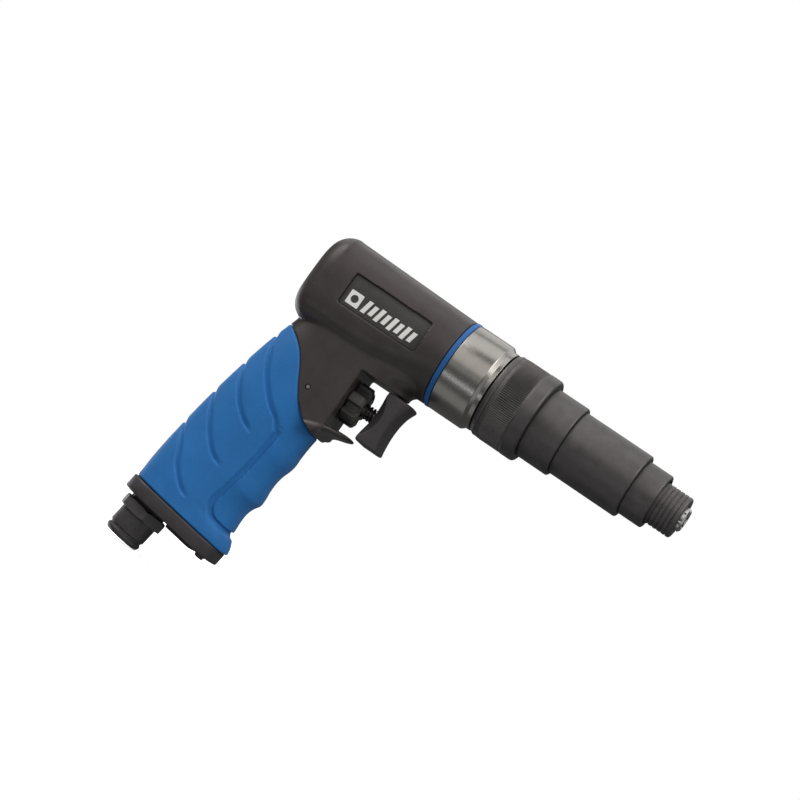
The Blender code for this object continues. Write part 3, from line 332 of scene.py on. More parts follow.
# ---- materials
class Look:
    """A node material being built round its Principled shader."""

    def __init__(self, name, metallic=0.0, specular=0.5):
        self.material = bpy.data.materials.new(name)
        self.material.use_nodes = True
        self.nodes, self.links = self.material.node_tree.nodes, self.material.node_tree.links
        self.shader = self.nodes["Principled BSDF"]
        self.set(self.shader, {"Metallic": metallic, "Specular IOR Level": specular})

    def set(self, node, values):
        """Gives inputs a value, or links them where the value is another node's output."""
        for key, value in values.items():
            if isinstance(value, bpy.types.NodeSocket):
                self.links.new(value, node.inputs[key])
            else:
                node.inputs[key].default_value = value

    def add(self, kind, values):
        node = self.nodes.new("ShaderNode" + kind)
        self.set(node, values)
        return node

    def finish(self, color, roughness, *layers):
        """Links colour, roughness and bump layers, each (height, strength, depth in metres)."""
        self.set(self.shader, {"Base Color": color, "Roughness": roughness})
        last = {}
        for height, strength, depth in layers:
            bump = self.add("Bump", {"Strength": strength, "Distance": depth, "Height": height, **last})
            last = {"Normal": bump.outputs["Normal"]}
        self.set(self.shader, last)
        return self.material

    def place(self, stretch=(1, 1, 1), turn=(0, 0, 0)):
        """Coordinates fixed to the piece, in metres, stretched as told."""
        where = self.add("TexCoord", {}).outputs["Object"]
        return self.add("Mapping", {"Scale": stretch, "Rotation": turn, "Vector": where}).outputs["Vector"]

    def noise(self, place, scale, detail=4.0, roughness=0.55):
        values = {"Scale": scale, "Detail": detail, "Roughness": roughness, "Vector": place}
        return self.add("TexNoise", values).outputs["Fac"]

    def cells(self, place, scale, feature="F1"):
        node = self.add("TexVoronoi", {"Vector": place})
        node.feature = feature
        node.inputs["Scale"].default_value = scale
        return node.outputs["Distance"]

    def ramp(self, value, dark, light, start=0.35, end=0.65):
        """A colour from dark to light as the value goes from start to end."""
        node = self.add("ValToRGB", {"Fac": value})
        for element, position, color in zip(node.color_ramp.elements, (start, end), (dark, light)):
            element.position = position
            element.color = (*color, 1.0)
        return node.outputs["Color"]

    def span(self, value, low, high, start=0.25, end=0.75):
        values = {"From Min": start, "From Max": end, "To Min": low, "To Max": high, "Value": value}
        return self.add("MapRange", values).outputs["Result"]

    def mixed(self, factor, first, second):
        """The first colour, and the second where the factor is 1. The second is a plain colour."""
        node = self.add("Mix", {})
        node.data_type = "RGBA"
        self.set(node, {0: factor, 6: first, 7: (*second, 1.0)})
        return node.outputs[2]

    def worn_edges(self, low=0.57, high=0.66):
        """0 on flats, 1 on sharp outer edges."""
        return self.span(self.add("NewGeometry", {}).outputs["Pointiness"], 0.0, 1.0, low, high)


def scaled(color, share):
    return tuple(min(1.0, channel * share) for channel in color)


def coated(name, dark, light, rough, grain, wear, specular=0.5):
    """Satin coating: faint mottling, fine orange peel and lighter rubbed edges."""
    look = Look(name, 0.0, specular)
    place = look.place()
    cloud = look.noise(place, 90)
    color = look.mixed(look.worn_edges(), look.ramp(cloud, dark, light), scaled(light, wear))
    smudge = look.noise(place, 160, 5)
    peel = look.noise(place, grain, 2)
    return look.finish(color, look.span(smudge, *rough), (peel, 0.35, 0.00004), (cloud, 0.2, 0.00010))


def turned_metal(name, dark, light, rough, metallic=1.0, along="X", lines=0.5, fine=9000):
    """Metal with fine turning lines round the given axis, smudges and bright rubbed edges."""
    look = Look(name, metallic)
    stretch = {"X": (1.0, 0.02, 0.02), "Z": (0.02, 0.02, 1.0)}[along]
    turn = (0, 0, 0) if along == "X" else (0, -GRIP_TILT, 0)
    lathe_lines = look.noise(look.place(stretch, turn), fine, 3)
    smudge = look.noise(look.place(), 140, 6, 0.6)
    base = look.ramp(smudge, dark, light, 0.30, 0.70)
    lined = look.mixed(look.span(lathe_lines, 0.0, 0.35), base, scaled(dark, 0.55))
    color = look.mixed(look.worn_edges(0.53, 0.62), lined, scaled(light, 1.6))
    pits = look.noise(look.place(), 2500, 2)
    return look.finish(color, look.span(smudge, *rough),
                       (lathe_lines, lines, 0.000012), (pits, 0.15, 0.00001))


def rubber(name, dark, light):
    """Moulded rubber: fine leathery grain, dull, slightly uneven in tone."""
    look = Look(name, 0.0, 0.35)
    look.set(look.shader, {"Sheen Weight": 0.06})
    place = look.place()
    tone = look.noise(place, 60, 5)
    speck = look.noise(place, 1400, 3)
    base = look.ramp(tone, dark, light, 0.32, 0.68)
    dusty = look.mixed(look.span(speck, 0.0, 0.22, 0.45, 0.75), base, scaled(light, 1.35))
    pores = look.cells(place, 2300)
    return look.finish(dusty, look.span(tone, 0.50, 0.62), (pores, 0.22, 0.00006), (speck, 0.2, 0.00004))


def textured_plastic(name, dark, light, rough, specular=0.5, pattern=1500, strength=0.4):
    """Moulded plastic with a spark-eroded texture."""
    look = Look(name, 0.0, specular)
    place = look.place()
    tone = look.noise(place, 70, 4)
    pits = look.cells(place, pattern, "SMOOTH_F1")
    grain = look.noise(place, 3200, 2)
    return look.finish(look.ramp(tone, dark, light), look.span(tone, *rough),
                       (pits, strength, 0.00008), (grain, 0.2, 0.00003))


def fibrous(name, dark, light, scale, rough, strength):
    """Felt or fibre laminate: crossed strands."""
    look = Look(name, 0.0, 0.3)
    strands = look.noise(look.place((1.0, 0.15, 1.0)), scale, 5)
    across = look.noise(look.place((0.15, 1.0, 0.4)), scale, 5)
    color = look.mixed(across, look.ramp(strands, dark, light), dark)
    return look.finish(color, look.span(strands, *rough), (strands, strength, 0.00015),
                       (across, strength, 0.00015))


COAT = coated("satin_black_coat", (0.041, 0.0325, 0.0325), (0.052, 0.0425, 0.0425), (0.34, 0.42),
              2600, 1.35, 0.42)
PAINT = coated("pale_print", (0.80, 0.785, 0.77), (0.90, 0.885, 0.87), (0.45, 0.6), 3000, 1.1)
BLUE = rubber("blue_rubber_grain", (0.012, 0.150, 0.430), (0.016, 0.175, 0.510))
GASKET = rubber("blue_gasket_rubber", (0.010, 0.105, 0.330), (0.014, 0.125, 0.380))
OXIDE = turned_metal("black_oxide_turned", (0.106, 0.099, 0.098), (0.144, 0.135, 0.134), (0.42, 0.52),
                     0.8, lines=0.35)
OXIDE_INLET = turned_metal("black_oxide_inlet", (0.085, 0.080, 0.083), (0.120, 0.114, 0.116), (0.42, 0.54),
                           0.75, "Z", 0.35)
STEEL = turned_metal("satin_turned_steel", (0.36, 0.345, 0.32), (0.40, 0.385, 0.357), (0.24, 0.28), fine=6000)
PIN_STEEL = turned_metal("dull_pin_steel", (0.24, 0.23, 0.22), (0.32, 0.31, 0.295), (0.34, 0.44), 0.9, "Z")
# Near-black for a liner on the bit socket's walls: painted shade inside the socket.
SOCKET_PAINTED_SHADE = turned_metal("socket_painted_shade", (0.008, 0.008, 0.008), (0.014, 0.014, 0.014), (0.5, 0.6),
                            0.3)
BRIGHT = turned_metal("bright_ground_steel", (0.50, 0.49, 0.48), (0.64, 0.63, 0.61), (0.16, 0.28))
BRONZE = turned_metal("sintered_bronze", (0.38, 0.23, 0.09), (0.55, 0.36, 0.16), (0.34, 0.5))
PLASTIC = textured_plastic("black_moulded_plastic", (0.034, 0.030, 0.033), (0.046, 0.041, 0.044),
                           (0.40, 0.52))
DIAL_PLASTIC = textured_plastic("grey_dial_plastic", (0.050, 0.047, 0.046), (0.066, 0.062, 0.060),
                                (0.38, 0.50), 0.5, 1300, 0.2)
# A lighter copy of the dial plastic for the dial's face: painted light, where the trigger shades the face from
# the lamps.
PAINTED_LIGHT_FACE_PLASTIC = textured_plastic("painted_light_face_plastic", (0.105, 0.102, 0.095), (0.130, 0.126, 0.117),
                                (0.45, 0.58), 0.5, 1700, 0.25)
SMOOTH_PLASTIC = textured_plastic("black_smooth_plastic", (0.010, 0.0098, 0.0098), (0.016, 0.0155, 0.0155),
                                  (0.30, 0.40), 0.4, 900, 0.12)
PLATE = textured_plastic("plate_floor", (0.030, 0.028, 0.027), (0.052, 0.048, 0.047), (0.42, 0.6),
                         0.5, 1300, 0.9)
SEAL = textured_plastic("seal_rubber_black", (0.010, 0.010, 0.010), (0.018, 0.018, 0.018), (0.42, 0.6),
                        0.4, 2200, 0.3)
FELT = fibrous("pressed_felt", (0.20, 0.19, 0.17), (0.42, 0.40, 0.37), 2600, (0.9, 1.0), 0.9)
LAMINATE = fibrous("cotton_laminate", (0.16, 0.09, 0.04), (0.34, 0.21, 0.10), 3000, (0.45, 0.65), 0.3)


# ---- motor housing
def barrel_form(x):
    """Half height of the barrel's upper half at x, and how square its upper and lower halves are. The
    barrel is round at the front and squarer towards the rear. The lower half is fullest above the handle."""
    share = (x - HOUSING_REAR) / (HOUSING_FRONT - HOUSING_REAR)
    top = BARREL_TOP + (BARREL_R - BARREL_TOP) * share
    return top, 2.9 - 0.9 * share, 2.0 + 1.9 * ease((0.94 - share) / 0.50)


def barrel_ring(corner_share, x, count=160):
    """One section of the barrel. corner_share runs from 0 at the rear face to 1 past its rounded edge."""
    top, upper_power, lower_power = barrel_form(x)
    points = []
    for a in angles(count):
        c, s = math.cos(a), math.sin(a)
        corner = 0.0098 + 0.0010 * s
        turn = math.pi / 2 * corner_share
        inset = corner * (1 - math.sin(turn))
        back = corner * (1 - math.cos(turn)) if corner_share < 1 else 0.0
        power = upper_power if s > 0 else lower_power
        reach = (abs(c) ** power + abs(s) ** power) ** (-1 / power)
        half_height = (top if s > 0 else BARREL_R) - inset
        station = HOUSING_REAR + back if corner_share < 1 else x
        points.append((station, (BARREL_R - inset) * reach * c, half_height * reach * s))
    return points


def barrel_body():
    rounding, straight = 14, 30
    rings = [barrel_ring(k / rounding, HOUSING_REAR) for k in range(rounding)]
    start = HOUSING_REAR + 0.0112
    rings += [barrel_ring(1.0, start + (HOUSING_FRONT - start) * k / straight) for k in range(straight + 1)]
    return loft("barrel", rings)


GRIP_BACK = [(-0.001, -0.0275), (0.012, -0.0284), (0.031, -0.0286), (0.051, -0.0280), (0.070, -0.0266),
             (0.089, -0.0244), (0.103, -0.0218), (0.112, -0.0205)]
GRIP_FRONT = [(0.000, 0.0281), (0.0035, 0.0269), (0.0068, 0.0248), (0.0085, 0.0233), (0.0110, 0.0229),
              (0.0165, 0.0219), (0.0206, 0.0217), (0.0240, 0.0224), (0.0275, 0.0239), (0.0303, 0.0237),
              (0.0356, 0.0226), (0.0402, 0.0221), (0.0449, 0.0224), (0.0483, 0.0231), (0.0515, 0.0233),
              (0.0560, 0.0227), (0.0620, 0.0222), (0.0664, 0.0221), (0.0720, 0.0224), (0.112, 0.0240)]
GRIP_HALF_WIDTH = [(-0.001, 0.0175), (0.030, 0.0170), (0.080, 0.0178), (0.112, 0.0180)]
GRIP_POWER = 2.7


def grip_section(z, inset, reach=0.0, count=200):
    """Points and outward directions of one section of the grip, in the grip frame."""
    back = smoothly(GRIP_BACK, z) + inset
    front = smoothly(GRIP_FRONT, z) - inset
    half_width = smoothly(GRIP_HALF_WIDTH, z) - inset
    middle, half_depth = (back + front) / 2, (front - back) / 2
    stretch = (half_depth + reach) / half_depth
    points, normals = [], []
    for a in angles(count, 0.5):
        c, s = squared(a, GRIP_POWER)
        x, y = half_depth * c, half_width * s
        nx = math.copysign(abs(x / half_depth) ** (GRIP_POWER - 1), x) / half_depth
        ny = math.copysign(abs(y / half_width) ** (GRIP_POWER - 1), y) / half_width
        length = math.hypot(nx, ny)
        points.append((middle + x * (stretch if x > 0 else 1), y, z))
        normals.append((nx / length, ny / length, 0.0))
    return points, normals


def grip_body(name, bottom, top, inset, reach=0.0, step=0.001, count=200):
    levels = list(np.arange(bottom, top, step)) + [top]
    rings = [grip_section(z, inset, reach if z > FLAT_FACE_FROM else 0.0, count)[0] for z in levels]
    return loft(name, rings)


SEAM = [(-0.0900, -0.0250), (-0.0715, -0.0277), (-0.0655, -0.0312), (-0.0605, -0.0356), (-0.0562, -0.0419),
        (-0.0524, -0.0484), (-0.0477, -0.0548), (-0.0436, -0.0588), (-0.0378, -0.0622), (-0.0316, -0.0645),
        (-0.0200, -0.0665)]


def seam_curve(shift):
    """The seam between sleeve and housing, seen from the side, lowered by shift."""
    xs = np.linspace(SEAM[0][0], SEAM[-1][0], 70)
    return [(x, smoothly(SEAM, x) - shift) for x in xs]


def below_seam(shift):
    """Everything below the seam, in the tool frame."""
    outline = seam_curve(shift) + [(-0.0200, -0.1700), (-0.1200, -0.1700), (-0.1200, -0.0250 - shift)]
    return prism("below_seam", outline, -0.040, 0.040, "XZ")


def hood_body():
    """The bulge between barrel and trigger: it rounds to a nose seen from above, and flares out into the
    barrel."""
    half_width, straight_to, nose = 0.0177, -0.0330, -0.0089
    bottom, height = -0.0262, 0.0122
    side = [(-0.0430, half_width)]
    for a in quarter(39):
        x = straight_to + (nose - straight_to) * math.sin(a) ** 0.95
        side.append((x, half_width * math.cos(a) ** 0.90))
    outline = side + [(x, -y) for x, y in reversed(side[:-1])]
    rings = []
    for k in range(15):
        rise = height * k / 14
        forward = 0.0062 * ease((rise - 0.0010) / 0.0070) ** 1.3
        ring = []
        for x, y in outline:
            share = ease((x - straight_to) / (nose - straight_to))
            ring.append((x + forward * share, y * (1 + 0.10 * share * ease(rise / 0.008)), bottom + rise))
        rings.append(ring)
    return loft("hood", rings)


def horn_body():
    """The ledge and guard below the trigger."""
    stations = [(-0.0470, 0.0168, -0.0600, -0.0680), (-0.0435, 0.0178, -0.0586, -0.0675),
                (-0.0390, 0.0184, -0.0572, -0.0668), (-0.0350, 0.0181, -0.0562, -0.0645),
                (-0.0325, 0.0170, -0.0557, -0.0606), (-0.0300, 0.0152, -0.0552, -0.0590),
                (-0.0265, 0.0122, -0.0548, -0.0581), (-0.0235, 0.0094, -0.0546, -0.0574),
                (-0.0212, 0.0066, -0.0547, -0.0567), (-0.0199, 0.0040, -0.0550, -0.0562)]
    rings = []
    for x, half_width, top, bottom in stations:
        ring = []
        for a in angles(64):
            c, s = squared(a, 3)
            ring.append((x, half_width * c, (top + bottom) / 2 + (top - bottom) / 2 * s))
        rings.append(ring)
    return loft("horn", rings)


def under_guard():
    """Clears what would hang below the guard's lower edge in front of the handle."""
    edge = [(-0.0370, -0.0668), (-0.0352, -0.0645), (-0.0332, -0.0618), (-0.0312, -0.0600),
            (-0.0277, -0.0588), (-0.0237, -0.0580), (-0.0190, -0.0572)]
    rear, front, below = edge[0][0], edge[-1][0], -0.0800
    outline = [(x, smoothly(edge, x)) for x in np.linspace(rear, front, 30)] + [(front, below), (rear, below)]
    return prism("under_guard", outline, -0.040, 0.040, "XZ")


def fillet_junctions(housing):
    """Rounds the inner corners where barrel, handle and hood meet."""
    group = housing.vertex_groups.new(name="junction")
    for vertex in housing.data.vertices:
        x, y, z = vertex.co
        crease = 1 - abs(z + 0.0212) / 0.0042
        front = 1 - abs(z + 0.0205) / 0.0075
        weight = ease(max(crease, front * ease((x + 0.048) / 0.012)) * 2.0) * ease((-0.0045 - x) / 0.003)
        if weight > 0:
            group.add([vertex.index], weight, "REPLACE")
    smooth = housing.modifiers.new("fillets", "SMOOTH")
    smooth.factor = 0.5
    smooth.iterations = 7
    smooth.vertex_group = "junction"
    applied(housing)
    housing.vertex_groups.clear()


def housing_skin():
    """The housing's outer form: barrel, neck, hood and guard in one skin, with the core under the sleeve."""
    barrel = barrel_body()
    recess = rounded_rectangle(-0.0588, -0.0161, -0.0069, 0.0092, 0.0013)
    cut(barrel, prism("plate_recess", recess, -0.030, -0.0195, "XZ"))
    neck = grip_body("neck", 0.048, GRIP_TOP, 0.0, 0.030)
    cut(neck, moved(below_seam(-SEAM_GAP), TO_GRIP))
    moved(neck, TO_TOOL)
    cut(neck, block("in_front", (HANDLE_FACE_X, -0.04, -0.09), (0.04, 0.04, 0.02)), under_guard())
    horn = cut(horn_body(), below_seam(-SEAM_GAP), under_guard())
    core = moved(grip_body("core", 0.050, 0.104, SLEEVE_WALL, 0.0, 0.004, 80), TO_TOOL)
    cut(core, block("in_front", (HANDLE_FACE_X - 0.001, -0.04, -0.09), (0.04, 0.04, 0.02)))
    housing = softened(heaped(barrel, neck, horn, core, hood_body()), 0.00042, 3)
    fillet_junctions(housing)
    lower_core = grip_body("lower_core", 0.0, 0.058, SLEEVE_WALL + GAP, 0.0, 0.006, 64)
    return merged(housing, moved(lower_core, TO_TOOL))


def make_motor_housing():
    housing = housing_skin()
    bore_end, bore, seat_end, seat = -0.0652, 0.0186, -0.0715, 0.0100
    valve_end, valve, stop, wide_valve = -0.0752, 0.0065, -0.0600, 0.0072
    motor_bore = [(seat_end, 0), (seat_end, seat), (bore_end, seat), (bore_end, bore), (0.01, bore), (0.01, 0)]
    valve_bore = [(valve_end, 0), (valve_end, valve), (stop, valve), (stop, wide_valve), (0.0, wide_valve),
                  (0.0, 0)]
    cut(housing,
        turned("motor_bore", motor_bore, facets=96),
        shifted(turned("valve_bore", valve_bore, facets=64), z=TRIGGER_Z),
        moved(rod("pin_hole", -0.03, 0.03, 0.00138, facets=40), PIN_AT))
    air_way = turned("air_way", [(-0.004, 0), (-0.004, 0.0083), (0.0122, 0.0083), (0.0122, 0.0045),
                                 (0.0880, 0.0045), (0.0880, 0)], "Z", 48)
    cut(housing, moved(air_way, TO_TOOL @ Matrix.Translation((INLET_X, 0, 0))))
    holes = ((EXHAUST_X, EXHAUST_Y, 0.0600, 0.0024), (EXHAUST_X, -EXHAUST_Y, 0.0600, 0.0024),
             (SCREW_X, 0.0, 0.0080, 0.0016))
    for x, y, reach, radius in holes:
        hole = rod("hole", -0.004, reach, radius, facets=24)
        cut(housing, moved(hole, TO_TOOL @ Matrix.Translation((x, y, 0))))
    piece(housing, "motor_housing_shell", "tool_body", COAT, ["motor_housing"], 38, TOOL)


def barrel_side(x, z):
    """Where the barrel's near side lies across the tool, at x and height z."""
    top, upper_power, lower_power = barrel_form(x)
    power, half_height = (upper_power, top) if z > 0 else (lower_power, BARREL_R)
    return -BARREL_R * (1 - (abs(z) / half_height) ** power) ** (1 / power)


def curved_slab(name, low, high, depth, back, columns=60, rows=24):
    """A plate between the corners low and high in the side view. Its face follows the barrel, at a depth."""
    wide, total = columns + 1, (columns + 1) * (rows + 1)
    grid = []
    for j in range(rows + 1):
        z = low[1] + (high[1] - low[1]) * j / rows
        grid += [(low[0] + (high[0] - low[0]) * i / columns, z) for i in range(wide)]
    vertices = [(x, barrel_side(x, z) + depth, z) for x, z in grid] + [(x, back, z) for x, z in grid]
    faces = []
    for j in range(rows):
        for i in range(columns):
            a = j * wide + i
            faces.append((a, a + 1, a + wide + 1, a + wide))
            faces.append((total + a, total + a + wide, total + a + wide + 1, total + a + 1))
    border = list(range(wide)) + [j * wide + columns for j in range(1, rows + 1)]
    border += [rows * wide + i for i in range(columns - 1, -1, -1)]
    border += [j * wide for j in range(rows - 1, 0, -1)]
    faces += [(a, total + a, total + b, b) for a, b in zip(border, border[1:] + border[:1])]
    return clean(mesh_object(name, vertices, faces))


def make_nameplate():
    """The plate in the recess, and its pale print: a pierced square and a row of slanted bars."""
    low, high, back, depth, print_height = (-0.0585, -0.0066), (-0.0164, 0.0089), -0.0192, 0.0014, 0.00018
    outline = rounded_rectangle(low[0], high[0], low[1], high[1], 0.0011)
    plate = curved_slab("plate", low, high, depth, back)
    kept(plate, prism("plate_outline", outline, -0.030, -0.0196, "XZ"))
    piece(plate, "nameplate_plate", "tool_body", PLATE, ["nameplate"], 30, TOOL)

    outer, inner, middle, half, hole = -0.0300, -0.0198, -0.0016, 0.0034, 0.0019
    square = rounded_rectangle(-0.0562, -0.0494, middle - half, middle + half, 0.0004, 3)
    opening = [(-0.0528 + hole * math.cos(a), middle + hole * math.sin(a)) for a in angles(32)]
    emblem = prism("emblem", square, outer, inner, "XZ")
    marks = [cut(emblem, prism("opening", opening, -0.040, 0.0, "XZ"))]
    first, pitch, width, slant = -0.0470, 0.0036, 0.0022, 0.22
    for k in range(8):
        x = first + pitch * k
        height = 0.0026 if k % 2 else 0.0033
        lean = slant * height
        bar = [(x - lean, middle - height), (x + width - lean, middle - height),
               (x + width + lean, middle + height), (x + lean, middle + height)]
        marks.append(prism("bar", bar, outer, inner, "XZ"))
    pale = kept(heaped(*marks), curved_slab("skin", low, high, depth - print_height, back))
    piece(pale, "nameplate_bars", "tool_body", PAINT, [], 30, TOOL)


# ---- rubber sleeve
GROOVE_WALL, GROOVE_FADE = 0.00045, 0.0060
# The moulded grooves: points in the side view, width, depth, and whether the groove fades out at its end.
# Each is steep along its listed line and runs out to the line's left.
GROOVES = [
    ([(-0.0805, -0.0285), (-0.0776, -0.0350), (-0.0747, -0.0412), (-0.0709, -0.0488), (-0.0661, -0.0557),
      (-0.0590, -0.0631), (-0.0528, -0.0677), (-0.0494, -0.0717)], 0.0030, 0.0011, False),
    ([(-0.0850, -0.0490), (-0.0821, -0.0541), (-0.0788, -0.0599), (-0.0754, -0.0654), (-0.0706, -0.0714),
      (-0.0649, -0.0760), (-0.0574, -0.0797)], 0.0028, 0.0010, True),
    ([(-0.0890, -0.0680), (-0.0857, -0.0734), (-0.0823, -0.0788), (-0.0775, -0.0861), (-0.0728, -0.0921),
      (-0.0671, -0.0972), (-0.0600, -0.1000)], 0.0028, 0.0010, True),
    ([(-0.0925, -0.0875), (-0.0892, -0.0928), (-0.0859, -0.0977), (-0.0821, -0.1041), (-0.0787, -0.1101),
      (-0.0739, -0.1152), (-0.0692, -0.1188), (-0.0645, -0.1202)], 0.0028, 0.0010, True),
]
CHANNEL = [(-0.0476, -0.0700), (-0.0480, -0.0760), (-0.0497, -0.0894), (-0.0519, -0.1023), (-0.0540, -0.1110),
           (-0.0543, -0.1157), (-0.0523, -0.1192), (-0.0485, -0.1215), (-0.0390, -0.1229), (-0.0280, -0.1236)]
CHANNEL_HALF_WIDTH, CHANNEL_DEPTH = 0.00140, 0.0011


def refined(line, steps=8):
    """A smooth curve through the line's points."""
    points = [np.array(p) for p in line]
    ends = [2 * points[0] - points[1]] + points + [2 * points[-1] - points[-2]]
    curve = []
    for a, b, c, d in zip(ends, ends[1:], ends[2:], ends[3:]):
        for k in range(steps):
            t = k / steps
            curve.append(0.5 * (2 * b + (c - a) * t + (2 * a - 5 * b + 4 * c - d) * t**2
                                + (3 * b - a - 3 * c + d) * t**3))
    curve.append(points[-1])
    return np.array(curve)


def nearest(points, line):
    """Distance to a line, on which side (left is positive), and how far along it, for many points."""
    best = np.full(len(points), 1e9)
    side = np.ones(len(points))
    along = np.zeros(len(points))
    walked = 0.0
    for a, b in zip(line, line[1:]):
        step = b - a
        length = float(np.hypot(*step))
        if length < 1e-9:
            continue
        t = np.clip(((points - a) @ step) / length**2, 0, 1)
        off = points - (a + t[:, None] * step)
        distance = np.hypot(off[:, 0], off[:, 1])
        closer = distance < best
        best = np.where(closer, distance, best)
        cross = step[0] * (points[:, 1] - a[1]) - step[1] * (points[:, 0] - a[0])
        side = np.where(closer, np.where(cross >= 0, 1.0, -1.0), side)
        along = np.where(closer, walked + t * length, along)
        walked += length
    return best, side, along, walked


def eased(values):
    """ease() for many values."""
    values = np.clip(values, 0, 1)
    return values * values * (3 - 2 * values)


def sleeve_sinks(points):
    """How deep the sleeve's surface lies below its plain form at these side-view points."""
    total = np.zeros(len(points))
    for line, width, depth, fades in GROOVES:
        distance, side, along, length = nearest(points, refined(line))
        run_out = depth * (1 - eased(distance / width))
        steep = depth * (1 - eased(distance / GROOVE_WALL))
        sink = np.where(side > 0, run_out, steep)
        if fades:
            sink = sink * eased((length - along) / GROOVE_FADE)
            past_end = (along >= length - 1e-9) & (distance > 0.0002)
            sink = np.where(past_end, 0.0, sink)
        total = np.maximum(total, sink)
    distance, _, along, _ = nearest(points, refined(CHANNEL))
    shoulder = eased((CHANNEL_HALF_WIDTH + 0.00025 - distance) / 0.0005)
    total = np.maximum(total, CHANNEL_DEPTH * shoulder * eased(along / 0.004 + 0.3))
    distance, _, _, _ = nearest(points, np.array(seam_curve(0.0)))
    return total + 0.0006 * (1 - eased(distance / 0.0011)) ** 2


def make_grip_sleeve():
    count = 320
    levels = np.linspace(0.0, 0.1105, 360)
    points, normals = [], []
    for z in levels:
        ring, outwards = grip_section(z, 0.0, 0.0, count)
        points += ring
        normals += outwards
    points, normals = np.array(points), np.array(normals)
    to_tool = np.array(TO_TOOL)
    in_tool = points @ to_tool[:3, :3].T + to_tool[:3, 3]
    sink = sleeve_sinks(in_tool[:, [0, 2]])
    bottom_edge = 0.0005 * (1 - eased(points[:, 2] / 0.0008)) ** 2
    points = points - normals * (sink + bottom_edge)[:, None]
    sleeve = loft("sleeve", points.reshape(len(levels), count, 3).tolist())
    kept(sleeve, moved(below_seam(SEAM_GAP), TO_GRIP))
    cut(sleeve, grip_body("core_space", -0.004, 0.119, SLEEVE_WALL, 0.0, 0.003, 160))
    piece(sleeve, "grip_sleeve_rubber", "tool_body", BLUE, ["grip_sleeve"], 50, GRIP)


# ---- base, exhaust and inlet
def rounded_plate(name, x0, x1, half_width, corner, low, high, edge, corner_steps, edge_steps=4):
    def outline(inset):
        half = half_width - inset
        return rounded_rectangle(x0 + inset, x1 - inset, -half, half, corner - inset, corner_steps)
    return pillow(name, low, high, edge, outline, edge_steps)


def make_base():
    base = rounded_plate("base", -0.0281, 0.0264, 0.0178, 0.0135, -BASE_THICKNESS, -GAP, 0.0008, 16)
    below, above = -0.02, 0.01
    cut(base,
        shifted(rod("inlet_hole", below, above, 0.0083, facets=72), INLET_X),
        prism("pocket", rounded_rectangle(-0.0004, 0.0152, -0.0135, 0.0135, 0.003), -0.016, -0.004),
        shifted(rod("screw_way", below, above, 0.0018), SCREW_X),
        shifted(rod("exhaust_way", below, above, 0.0024), EXHAUST_X, -EXHAUST_Y),
        shifted(rod("exhaust_way", below, above, 0.0024), EXHAUST_X, EXHAUST_Y))
    piece(base, "handle_base_plate", "tool_body", PLASTIC, ["handle_base"], 34, GRIP)

    head = -BASE_THICKNESS - GAP
    shank, shank_end, head_r, face_r, face = 0.0013, 0.0065, 0.0026, 0.0021, head - 0.0020
    screw = turned("screw", [
        (face, 0), (face, face_r, 0.0005), (head - 0.0006, head_r, 0.0004),
        (head, head_r, 0.0002), (head, shank), (shank_end, shank), (shank_end, 0)], "Z", 64)
    for turn in (0.4, math.pi / 2 + 0.4):
        arm = block("arm", (-0.0014, -0.0003, head - 0.0030), (0.0014, 0.0003, head - 0.0008))
        cut(screw, moved(arm, Matrix.Rotation(turn, 4, "Z")))
    piece(screw, "base_screw_cross", "tool_body", OXIDE_INLET, ["base_screw"], 34,
          GRIP @ Matrix.Translation((SCREW_X, 0, 0)))

    vent = rounded_plate("vent", 0.0002, 0.0154, 0.0125, 0.0025, head - 0.0012, head, 0.0003, 8, 3)
    for x in (0.0022, 0.0054, 0.0086, 0.0118):
        slit = prism("slit", rounded_rectangle(0, 0.0014, -0.0100, 0.0100, 0.0006, 5), -0.002, 0.002)
        cut(vent, moved(slit, Matrix.Translation((x, 0, head - 0.0006)) @ Matrix.Rotation(0.35, 4, "Y")))
    piece(vent, "exhaust_vent", "tool_body", PLASTIC, ["exhaust_deflector"], 34, GRIP)


def hexagon(corner_radius, first=0.0):
    """Corners of a hexagon. The first angle is in degrees."""
    turns = [math.radians(60 * k + first) for k in range(6)]
    return [(corner_radius * math.cos(a), corner_radius * math.sin(a)) for a in turns]


def make_inlet():
    top, bottom, across, radius, end = -0.0092, -0.0144, 0.0220, 0.0096, -0.0272
    corner = across / math.sqrt(3)
    reach, bevel, drop = corner + 0.00001, 0.0013, 0.0008
    nut = prism("nut", hexagon(corner, -9.5), bottom, top)
    kept(nut, turned("nut_limit", [(bottom, 0), (bottom, reach - bevel), (bottom + drop, reach),
                                   (top - drop, reach), (top, reach - bevel), (top, 0)], "Z", 96))
    neck, waist, groove, bead = 0.0078, 0.0070, radius - 0.0007, radius - 0.0001
    merged(nut, turned("body", [
        (0.0115, 0), (0.0115, neck, 0.0003), (top - 0.001, neck), (top - 0.001, waist),
        (bottom + 0.001, waist), (bottom + 0.001, radius), (-0.0228, radius, 0.0003),
        (-0.0234, groove, 0.0002), (-0.0242, groove, 0.0002), (-0.0246, bead, 0.0003),
        (-0.0258, bead, 0.0008), (end, radius - 0.0010, 0.0004), (end, 0)], "Z", 128))
    bore, root, crest, mouth, pitch = 0.0055, 0.0066, 0.0060, 0.0070, 0.0012
    thread = [(0.03, 0), (0.03, bore), (-0.0120, bore), (-0.0128, crest)]
    for k in range(10):
        z = -0.0132 - pitch * k
        thread += [(z, crest), (z - pitch / 2, root)]
    thread += [(-0.0256, crest), (-0.0262, mouth), (-0.04, mouth), (-0.04, 0)]
    cut(nut, turned("thread", thread, "Z", 96))
    spot = GRIP @ Matrix.Translation((INLET_X, 0, 0))
    piece(nut, "inlet_bushing_hex", "tool_body", OXIDE_INLET, ["inlet_bushing"], 34, spot)


